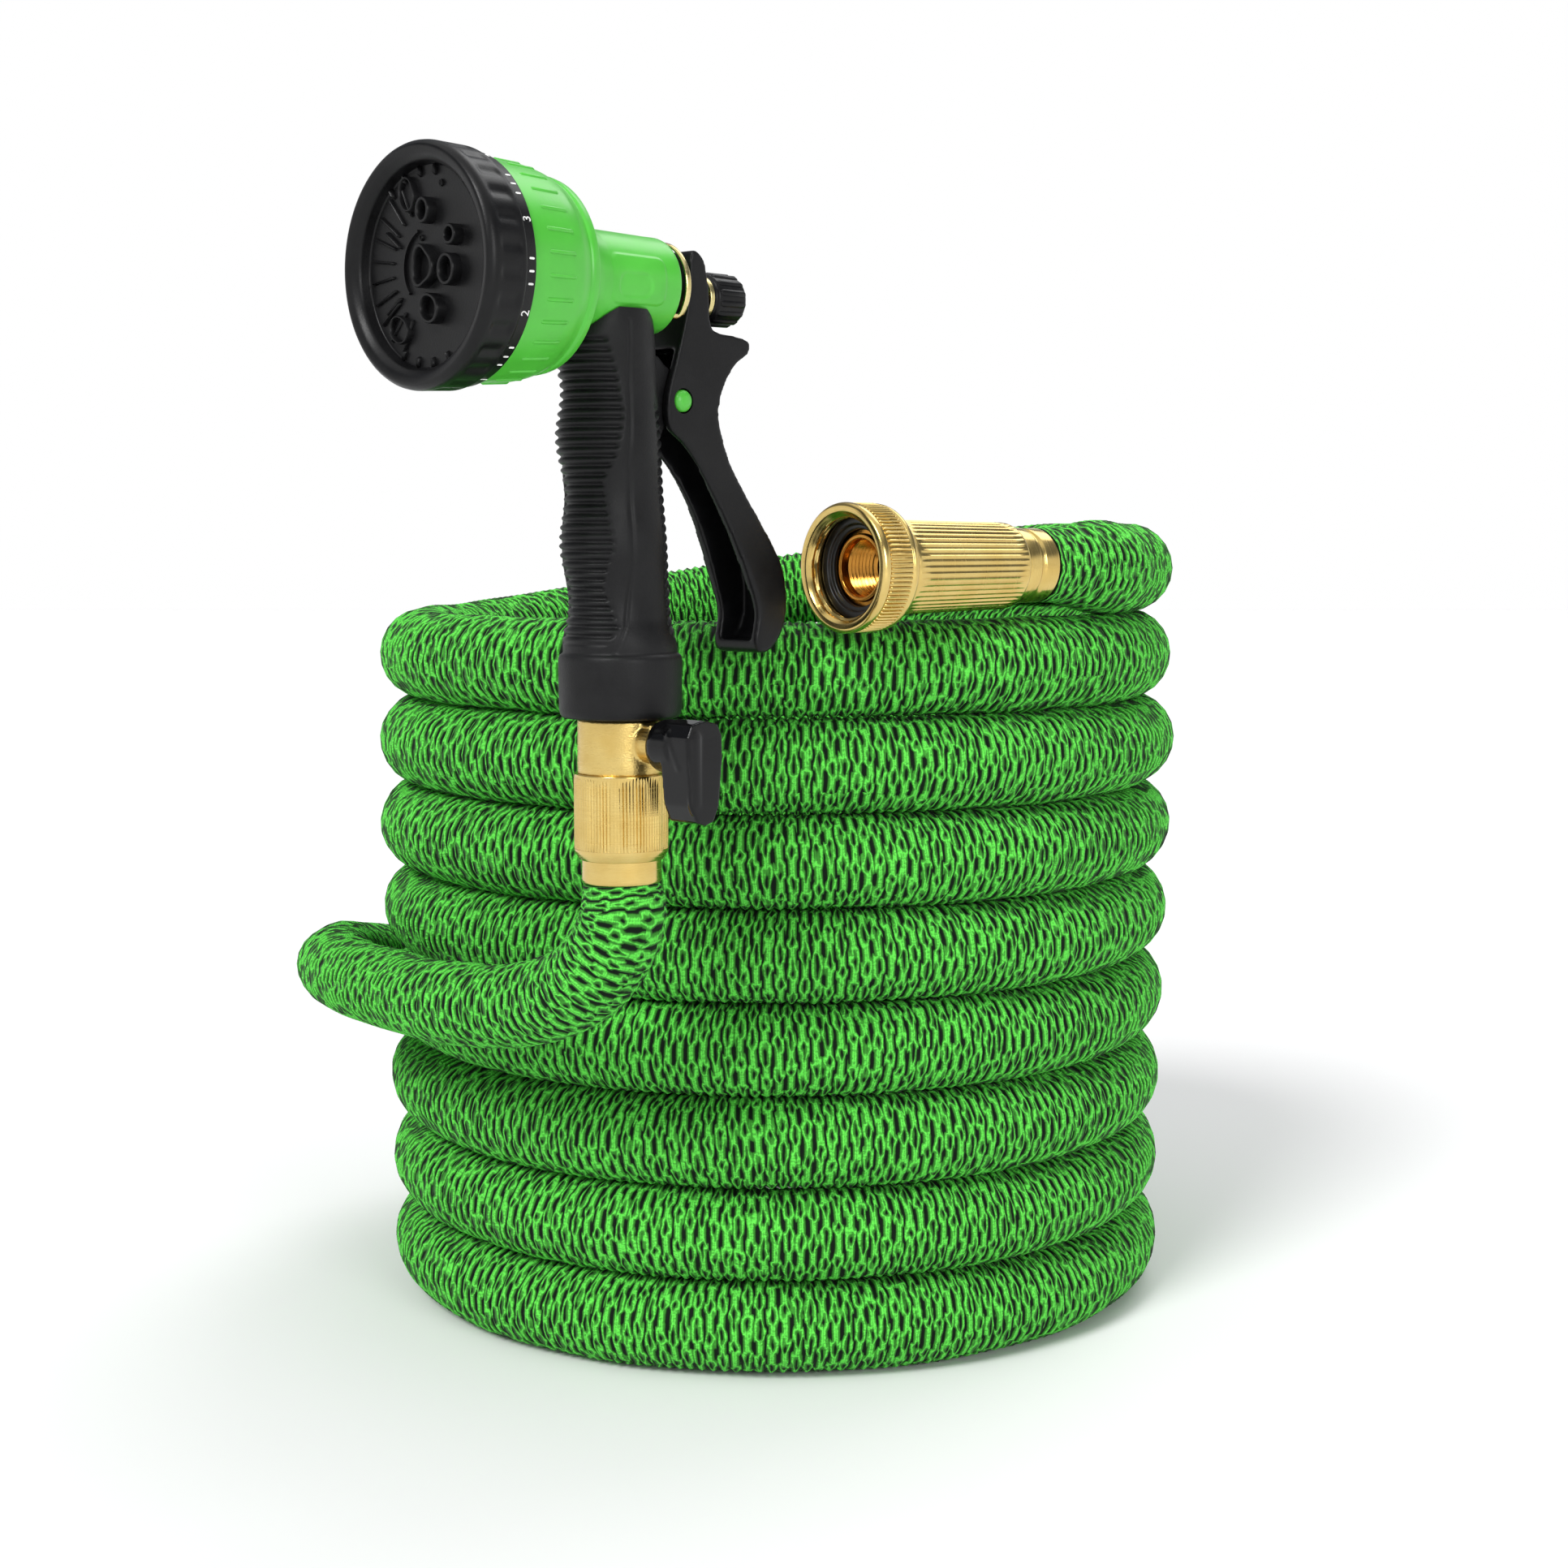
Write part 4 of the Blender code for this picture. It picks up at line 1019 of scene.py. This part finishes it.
# spray outlets as (to the right, up, half width, half height, lobes, turned by), in metres
OUTLETS = [
    (0.0, 0.0, 0.0037, 0.0046, 3, 0.4), (0.0006, 0.0120, 0.0024, 0.0029, 0, 0),
    (0.0100, 0.0061, 0.0023, 0.0023, 0, 0), (0.0087, -0.0012, 0.0030, 0.0035, 0, 0),
    (0.0023, -0.0092, 0.0032, 0.0037, 2, 0.6),
]
# lobed sockets and two pips, as the outlets, with the wall and the rise of each
SOCKETS = [
    (-0.0063, 0.0160, 0.0030, 0.0036, 2, 2.2, 0.0006, 0.0016),
    (-0.0098, -0.0132, 0.0032, 0.0034, 2, 0.9, 0.0006, 0.0016),
    (-0.0023, 0.0064, 0.0006, 0.0007, 0, 0, 0.0003, 0.0007),
    (0.0050, 0.0176, 0.0007, 0.0008, 0, 0, 0.0003, 0.0006),
]


def dial_place(right, up, forward):
    """Point of the dial's face in the barrel's turned coordinates."""
    return Vector((-up, right, forward))


def grip_scallops(radius, place, angle):
    """Shallow finger scallops round the dial's wall."""
    along = between(place, 0.0494, 0.0506, 0.0550, 0.0562)
    return -0.00045 * along * (0.5 - 0.5 * np.cos(28 * angle)) ** 2 * (radius > 0.0262)


def spout(right, up, half_wide, half_high, lobes, spin, wall, rise):
    """Raised outlet: a lobed tube that stands on the dial's face, open at its front."""
    turn = 2 * math.pi * np.arange(36) / 36
    swing = 1 + 0.12 * np.cos(lobes * turn + spin) * (lobes > 0)
    rows = []
    for inset, height in ((-0.0003, -0.0006), (0.0, 0.0001), (0.0, rise - 0.0003),
                          (0.0002, rise), (wall - 0.0002, rise), (wall, rise - 0.0003),
                          (wall, 0.0003)):
        y = (half_wide - inset) * swing * np.cos(turn)
        x = -(half_high - inset) * swing * np.sin(turn)
        rows.append(np.stack([x - up, y + right, DIAL_FACE + height + 0 * x], axis=-1))
    return ring_mesh("spout", np.array(rows))


class HOSE_OT_dial(bpy.types.Operator):
    """Make the black spray dial with its outlets, fins and numbers"""

    bl_idname = "garden_hose.dial"
    bl_label = "Spray dial"

    def execute(self, context):
        mat = satin_black()
        wall = run(0.0267, 0.0492, 0.0566, 16, 0.0270)
        profile = [(0, 0.0515), (0.0223, 0.0515), (0.0223, DIAL_BACK), (0.0258, DIAL_BACK, 0.0003),
                   (0.0261, 0.0484, 0.0002), (0.0266, 0.0488, 0.0002), *wall,
                   (0.0270, 0.0580, 0.0012), (0.0256, DIAL_FRONT, 0.0005),
                   (0.0238, 0.0585, 0.0006), (0.0224, 0.0572, 0.0006), (0.0220, DIAL_FACE, 0.0004),
                   (0.0120, DIAL_FACE), (0, DIAL_FACE)]
        parts = [turned("dial", profile, 224, grip_scallops)]
        parts += [spout(*outlet, 0.0009, 0.0026) for outlet in OUTLETS]
        parts += self.face_details(mat)
        place_mesh("dial_body", merged(*parts), BARREL_LINE, mat, "spray_dial", "spray_dial",
                   slot="satin_black_plastic", sharp=40)
        self.numbers()
        return {"FINISHED"}

    def face_details(self, mat):
        """Fins at the left, teeth at the top and bottom, an arc, two lobed sockets."""
        low = DIAL_FACE - 0.0002
        front = (0, 0, 1)
        left = -math.pi / 2
        fin = ridge((0.0125, 0, low), (0.0208, 0, low), 0.0008, 0.0011, front)
        fins = repeated(fin, 10, mat, math.radians(14), left - math.radians(63))
        tooth = ridge((0.0196, 0, low), (0.0222, 0, low), 0.0011, 0.0014, front)
        teeth = [repeated(tooth, 4, mat, math.radians(15), math.radians(first))
                 for first in (172, -26)]
        arc = []
        for i in range(19):
            angle = left - math.radians(58 - 6 * i + 10)
            arc.append([(r * math.cos(angle), r * math.sin(angle), z)
                        for r, z in ((0.0082, low), (0.0083, low + 0.0010),
                                     (0.0088, low + 0.0010), (0.0089, low))])
        arc = ring_mesh("arc", np.array(arc))
        sockets = [spout(*socket) for socket in SOCKETS]
        bars = [ridge(dial_place(-0.0150, outer, low), dial_place(-0.0098, inner, low),
                      0.0009, 0.0013, front)
                for outer, inner in ((0.0085, 0.0046), (-0.0098, -0.0062))]
        return [fins, *teeth, arc, *sockets, *bars]

    def numbers(self):
        """Printed numbers with short bars between them, round the dial's rear band."""
        mat = white_print()
        around, middle, count = 0.02602, 0.0470, 8
        parts = []
        for index in range(count):
            curve = bpy.data.curves.new("number", "FONT")
            curve.body = str(index + 1)
            curve.size = 0.0030
            curve.align_x, curve.align_y = "CENTER", "CENTER"
            curve.extrude = 0.00005
            curve.resolution_u = 3
            angle = 2 * math.pi * index / count + math.radians(20)
            out = Vector((math.cos(angle), math.sin(angle), 0))
            tangent = Vector((-math.sin(angle), math.cos(angle), 0))
            turn = axes_matrix(out * around + UP * middle, tangent, UP, out)
            parts.append(moved(plain_mesh(linked("number", curve), "number"), turn))
        bar = ridge((around, 0, middle - 0.0007), (around, 0, middle + 0.0007), 0.0005, 0.00008,
                    (1, 0, 0))
        for first in (34, 40, 46):
            parts.append(repeated(bar, count, mat, first=math.radians(first)))
        place_mesh("dial_numbers", merged(*parts), BARREL_LINE, mat, "spray_dial")


GRIP_FOOT = COLLAR_LOW + 0.0160
GRIP_TOP = AXIS_Z - 0.0064
GRIP_HALF_DEPTH, GRIP_HALF_WIDTH = 0.01275, 0.01125
# how far round the grip its ridges reach from the front, from bottom to top, in degrees
RIDGES_REACH = [(0.0, 30), (0.07, 54), (0.19, 39), (0.31, 54), (0.44, 46), (0.50, 44), (0.57, 60),
                (0.70, 72), (0.82, 67), (0.93, 55), (1.0, 26)]
SEAM_REACH = [(0.0, 44), (0.08, 60), (0.25, 71), (0.50, 74), (0.56, 72), (0.75, 80), (1.0, 82)]


def grip_surface(share, angle, height):
    """How far the grip's skin is pressed in, at a share of its height and an angle."""
    sizes = settings("hose_nozzle")
    around = np.abs(np.degrees(np.arctan2(np.sin(angle), np.cos(angle))))
    reach = np.interp(share, *zip(*RIDGES_REACH))
    front = (1 - eased(around, reach - 5, reach + 1)) * between(share, 0.015, 0.03, 0.965, 0.985)
    slant = 0.00006 * (180 - around) * (around > 100)
    back = eased(around, 117, 122) * between(share, 0.03, 0.06, 0.70, 0.74)
    wave = 0.5 - 0.5 * np.cos(2 * math.pi * (height + slant) / sizes.ridge_pitch)
    groove = wave ** 1.3
    seam_at = np.interp(share, *zip(*SEAM_REACH))
    seam = np.exp(-((around - seam_at) / 2.2) ** 2) * (share < 0.97)
    return sizes.ridge_depth * groove * np.maximum(front, 0.9 * back) + 0.00035 * seam


def grip_mesh():
    """Soft grip on its round collar: finger waves, ridges, and a saddle for the barrel."""
    sides, rows = 192, 270
    angle = 2 * math.pi * np.arange(sides) / sides
    collar = [(0.01340, 0.0), (0.01395, 0.0002), (0.01440, 0.0009), (0.01465, 0.0022),
              (0.01475, 0.0135), (0.01470, 0.0143), (0.01440, 0.0149), (0.01395, 0.0152),
              (0.01360, 0.0155)]
    rings = [np.stack([r * np.cos(angle), r * np.sin(angle), COLLAR_LOW + z + 0 * angle], axis=-1)
             for r, z in collar]
    forward = 0.5 + 0.5 * np.cos(angle)
    for row in range(rows):
        share = row / (rows - 1)
        oval = float(eased(share, 0.0, 0.10))
        wave = 0.0009 * math.cos(2 * math.pi * 3.2 * share) * oval
        slim = 1.045 - 0.085 * share
        depth = 0.0136 + (GRIP_HALF_DEPTH * slim - 0.0136) * oval
        width = 0.0136 + (GRIP_HALF_WIDTH * slim - 0.0136) * oval
        x = 0.0045 * share + (depth + wave * forward) * np.cos(angle)
        y = (width + wave * forward) * np.sin(angle)
        z = saddle_height(x, y, share)
        pressed = grip_surface(share, angle, z)
        rings.append(np.stack([x - pressed * np.cos(angle), y - pressed * np.sin(angle), z],
                              axis=-1))
    edge = rings[-1]
    middle = edge.mean(axis=0)
    for shrink in (0.75, 0.5, 0.25, 0.0):
        x = middle[0] + (edge[:, 0] - middle[0]) * shrink
        y = middle[1] + (edge[:, 1] - middle[1]) * shrink
        rings.append(np.stack([x, y, saddle_height(x, y, 1.0)], axis=-1))
    return ring_mesh("grip", np.array(rings))


def saddle_height(x, y, share):
    """Height of a grip ring, which ends in a saddle just below the barrel."""
    radius = neck_radius(x) + GAP
    under = AXIS_Z - np.sqrt(np.maximum(radius ** 2 - y ** 2, 0))
    top = np.where(np.abs(y) < radius, np.minimum(under, GRIP_TOP), GRIP_TOP)
    return GRIP_FOOT + (GRIP_TOP - GRIP_FOOT) * share - (GRIP_TOP - top) * share ** 6


LUG = [(0.0150, -0.0160), (0.0060, -0.0100), (0.0024, -0.0042), (0.0, -0.0048), (-0.0034, -0.0034),
       (-0.0048, 0.0), (-0.0034, 0.0034), (-0.0006, 0.0050), (0.0057, 0.0105), (0.0150, 0.0125)]


class HOSE_OT_grip(bpy.types.Operator):
    """Make the black rubber grip with its collar and the lug for the trigger's pin"""

    bl_idname = "garden_hose.grip"
    bl_label = "Grip"

    def execute(self, context):
        lug = moved(plate(LUG, lambda z: 0.0048), Matrix.Translation(PIN))
        mesh = merged(grip_mesh(), softened(lug, 0.0006, 3))
        place_mesh("grip", mesh, NOZZLE, grip_rubber(), "hose", "nozzle_grip",
                   slot="grip_rubber", sharp=75)
        return {"FINISHED"}


# side outline of the trigger and of the channel in it, from its pin
TRIGGER = [
    (-0.0038, 0.0357), (-0.0066, 0.0340), (-0.0080, 0.0295), (-0.0088, 0.0237),
    (-0.0090, 0.0185), (-0.0113, 0.0167), (-0.0188, 0.0159), (-0.0220, 0.0147),
    (-0.0216, 0.0121), (-0.0183, 0.0100), (-0.0150, 0.0065), (-0.0126, 0.0020),
    (-0.0118, -0.0028), (-0.0131, -0.0078), (-0.0168, -0.0145), (-0.0228, -0.0230),
    (-0.0288, -0.0318), (-0.0328, -0.0388), (-0.0344, -0.0453), (-0.0344, -0.0513),
    (-0.0323, -0.0568), (-0.0290, -0.0601), (-0.0256, -0.0608), (-0.0236, -0.0581),
    (-0.0246, -0.0508), (-0.0220, -0.0433), (-0.0183, -0.0348), (-0.0136, -0.0258),
    (-0.0078, -0.0173), (-0.0018, -0.0108), (0.0037, -0.0068), (0.0050, -0.0028),
    (0.0046, 0.0019), (0.0018, 0.0104), (-0.0010, 0.0201), (-0.0021, 0.0257),
    (-0.0025, 0.0323), (-0.0030, 0.0352),
]
CHANNEL = [
    (0.0262, 0.0122), (-0.0053, 0.0122), (-0.0090, 0.0042), (-0.0096, -0.0028),
    (-0.0110, -0.0075), (-0.0148, -0.0143), (-0.0208, -0.0228), (-0.0268, -0.0315),
    (-0.0307, -0.0385), (-0.0322, -0.0448), (-0.0322, -0.0505), (-0.0306, -0.0548),
    (-0.0283, -0.0575), (-0.0158, -0.0581), (0.0262, -0.0581),
]


def trigger_half(z):
    """Half width of the trigger: wide at the pin, slimmer below it, wide at the palm."""
    slim = 0.0014 * float(eased(-z, 0.0036, 0.018))
    palm = 0.0018 * float(eased(-z, 0.018, 0.045))
    return 0.0073 - slim + palm


def smooth_outline(points, spacing):
    """Closed outline on a smooth curve through its points."""
    flat = [Vector((x, 0, z)) for x, z in points]
    curve = smooth_curve([flat[-1], *flat, flat[0], flat[1]], spacing)
    ends = [i for i, point in enumerate(curve) if (point - flat[0]).length < 1e-6]
    return [(p.x, p.z) for p in curve[ends[0]:ends[-1]]]


class HOSE_OT_trigger(bpy.types.Operator):
    """Make the black rear lever and the green pin that it turns on"""

    bl_idname = "garden_hose.trigger"
    bl_label = "Trigger and pin"

    def execute(self, context):
        body = plate(smooth_outline(TRIGGER, 0.0015), trigger_half)
        channel = plate(CHANNEL, lambda z: trigger_half(z) - 0.0022)
        low, high = (PLUNGER_AT.z - PIN_AT.z + reach for reach in (-0.0031, 0.0062))
        slot = plate([(-0.0121, low), (0.0026, low), (0.0026, high), (-0.0121, high)],
                     lambda z: 0.0028)
        skin = softened(cut(body, channel, slot), 0.00052, 7)
        hole = moved(turned("hole", [(0, -0.02), (0.0030, -0.02), (0.0030, 0.02), (0, 0.02)], 48),
                     ALONG_Y)
        place_mesh("rear_lever", cut(skin, hole), NOZZLE @ Matrix.Translation(PIN), satin_black(),
                   "trigger", "trigger", slot="satin_black_plastic", sharp=60)
        reach = 0.0073
        head = [(0.0026, -0.0002), (0.0022, 0.0004), (0.0012, 0.0008), (0, 0.0009)]
        pin = [(r, -reach - z) for r, z in head[::-1]] + [(r, reach + z) for r, z in head]
        turned_piece("lever_pin", pin, 48, PIN_LINE, lime_plastic(), "hose", "pivot_pin",
                     slot="lime_plastic", sharp=80)
        return {"FINISHED"}


class HOSE_OT_plunger(bpy.types.Operator):
    """Make the brass plunger with its washer, and the ribbed flow knob"""

    bl_idname = "garden_hose.plunger"
    bl_label = "Plunger and knob"

    def execute(self, context):
        rod = [(0, -0.0343), (0.0022, -0.0343, 0.0003), (0.0022, 0.0100, 0.0003), (0, 0.0100)]
        turned_piece("draw_rod", rod, 40, PLUNGER_LINE, turned_brass(), "plunger",
                     "plunger_rod", slot="turned_brass")
        washer = [(0.0025, -0.0263), (0.0056, -0.0263, 0.0003), (0.0056, -0.0248, 0.0003),
                  (0.0025, -0.0248)]
        turned_piece("rod_washer", washer, 64, PLUNGER_LINE, plated_steel(), "plunger",
                     "plunger_washer", slot="plated_wire")
        mat = satin_black()
        knob = [(0, -0.0370), (0.0046, -0.0370, 0.0012), (0.0059, -0.0362, 0.0007),
                (0.0060, -0.0276, 0.0004), (0.0053, -0.0270, 0.0003), (0.0053, -0.0266, 0.0002),
                (0.0025, -0.0266), (0.0025, -0.0345), (0, -0.0345)]
        tooth = ridge((0.00585, 0, -0.0361), (0.0059, 0, -0.0279), 0.0017, 0.0006, (1, 0, 0))
        ribs = repeated(tooth, settings("hose_nozzle").knob_ribs, mat)
        place_mesh("rear_knob", merged(turned("flow_knob", knob, 96), ribs), PLUNGER_LINE, mat,
                   "flow_knob", "flow_knob", slot="satin_black_plastic")
        return {"FINISHED"}


# floor, light and camera

CAMERA_FROM_STACK = Vector((0.0025, -0.74625, 0.22458))
CAMERA_TILT = 0.1034            # radians below level
SENSOR = 36.0                   # mm
CAMERA_LENS = 3055 / 1932 * SENSOR
FLOOR_HALF = 6.0
# name, kind, place from the stack's middle, power, and angle or size
LAMPS = (("key", "SUN", (-0.9, -1.4, 1.5), 2.3, 0.35),
         ("rim", "SUN", (0.7, 1.2, 1.6), 0.7, 0.6),
         ("front", "AREA", (1.0, -1.9, 0.7), 14.0, 0.8))


class HOSE_OT_stage(bpy.types.Operator):
    """Make the floor, the studio light and the camera"""

    bl_idname = "garden_hose.stage"
    bl_label = "Floor, light and camera"

    def execute(self, context):
        mesh = bpy.data.meshes.new("floor")
        half = FLOOR_HALF
        mesh.from_pydata([(-half, -half, 0), (half, -half, 0), (half, half, 0), (-half, half, 0)],
                         [], [(0, 1, 2, 3)])
        mat, tree, shader = new_material("pale_floor", Roughness=0.9)
        shader.inputs["Base Color"].default_value = (*linear("#E9E9E9"), 1.0)
        mesh.materials.append(mat)
        linked("floor", mesh)
        self.light(context)
        camera = bpy.data.cameras.new("camera")
        camera.sensor_width = SENSOR
        camera.lens = CAMERA_LENS
        eye = linked("camera", camera)
        eye.location = STACK_AT + CAMERA_FROM_STACK
        eye.rotation_euler = (math.pi / 2 - CAMERA_TILT, 0, 0)
        context.scene.camera = eye
        context.scene.view_settings.view_transform = "Standard"
        return {"FINISHED"}

    def light(self, context):
        """White studio: bright at the horizon and overhead, dimmer between for the metal."""
        world = bpy.data.worlds.new("studio")
        world.use_nodes = True
        tree = world.node_tree
        way = add(tree, "ShaderNodeTexCoord").outputs["Generated"]
        split = add(tree, "ShaderNodeSeparateXYZ", {0: way})
        white = (1.0, 1.0, 1.0)
        sky = ramp(tree, split.outputs["Z"], (0.0, white), (0.24, white),
                   (0.40, (0.16, 0.17, 0.19)), (0.66, (0.24, 0.25, 0.27)), (0.85, white))
        background = tree.nodes["Background"]
        tree.links.new(sky.outputs[0], background.inputs["Color"])
        background.inputs["Strength"].default_value = 1.0
        context.scene.world = world
        middle = STACK_AT + Vector((0, 0, 0.14))
        for name, kind, spot, power, size in LAMPS:
            light = bpy.data.lights.new(name, kind)
            light.energy = power
            setattr(light, "angle" if kind == "SUN" else "size", size)
            lamp = linked(name, light)
            lamp.location = middle + Vector(spot)
            lamp.rotation_euler = (-Vector(spot)).to_track_quat("-Z", "Y").to_euler()


class HOSE_PT_panel(bpy.types.Panel):
    """Buttons for the pieces of the hose"""

    bl_label = "Garden hose"
    bl_idname = "HOSE_PT_panel"
    bl_space_type = "VIEW_3D"
    bl_region_type = "UI"
    bl_category = "Garden hose"

    def draw(self, context):
        for operator in OPERATORS:
            self.layout.operator(operator.bl_idname)


OPERATORS = (HOSE_OT_sleeve, HOSE_OT_tap_fitting, HOSE_OT_valve_fitting, HOSE_OT_grip,
             HOSE_OT_barrel, HOSE_OT_dial, HOSE_OT_trigger, HOSE_OT_plunger, HOSE_OT_stage)
GROUPS = {"garden_hose": HoseSizes, "hose_fittings": FittingSizes, "hose_nozzle": NozzleSizes}
CLASSES = (*GROUPS.values(), *OPERATORS, HOSE_PT_panel)


def register():
    for kind in CLASSES:
        bpy.utils.register_class(kind)
    for name, kind in GROUPS.items():
        setattr(bpy.types.Scene, name, PointerProperty(type=kind))


def unregister():
    for name in GROUPS:
        delattr(bpy.types.Scene, name)
    for kind in reversed(CLASSES):
        bpy.utils.unregister_class(kind)


def main():
    register()
    bpy.ops.garden_hose.sleeve()
    bpy.ops.garden_hose.tap_fitting()
    bpy.ops.garden_hose.valve_fitting()
    bpy.ops.garden_hose.grip()
    bpy.ops.garden_hose.barrel()
    bpy.ops.garden_hose.dial()
    bpy.ops.garden_hose.trigger()
    bpy.ops.garden_hose.plunger()
    bpy.ops.garden_hose.stage()


if __name__ == "__main__":
    main()
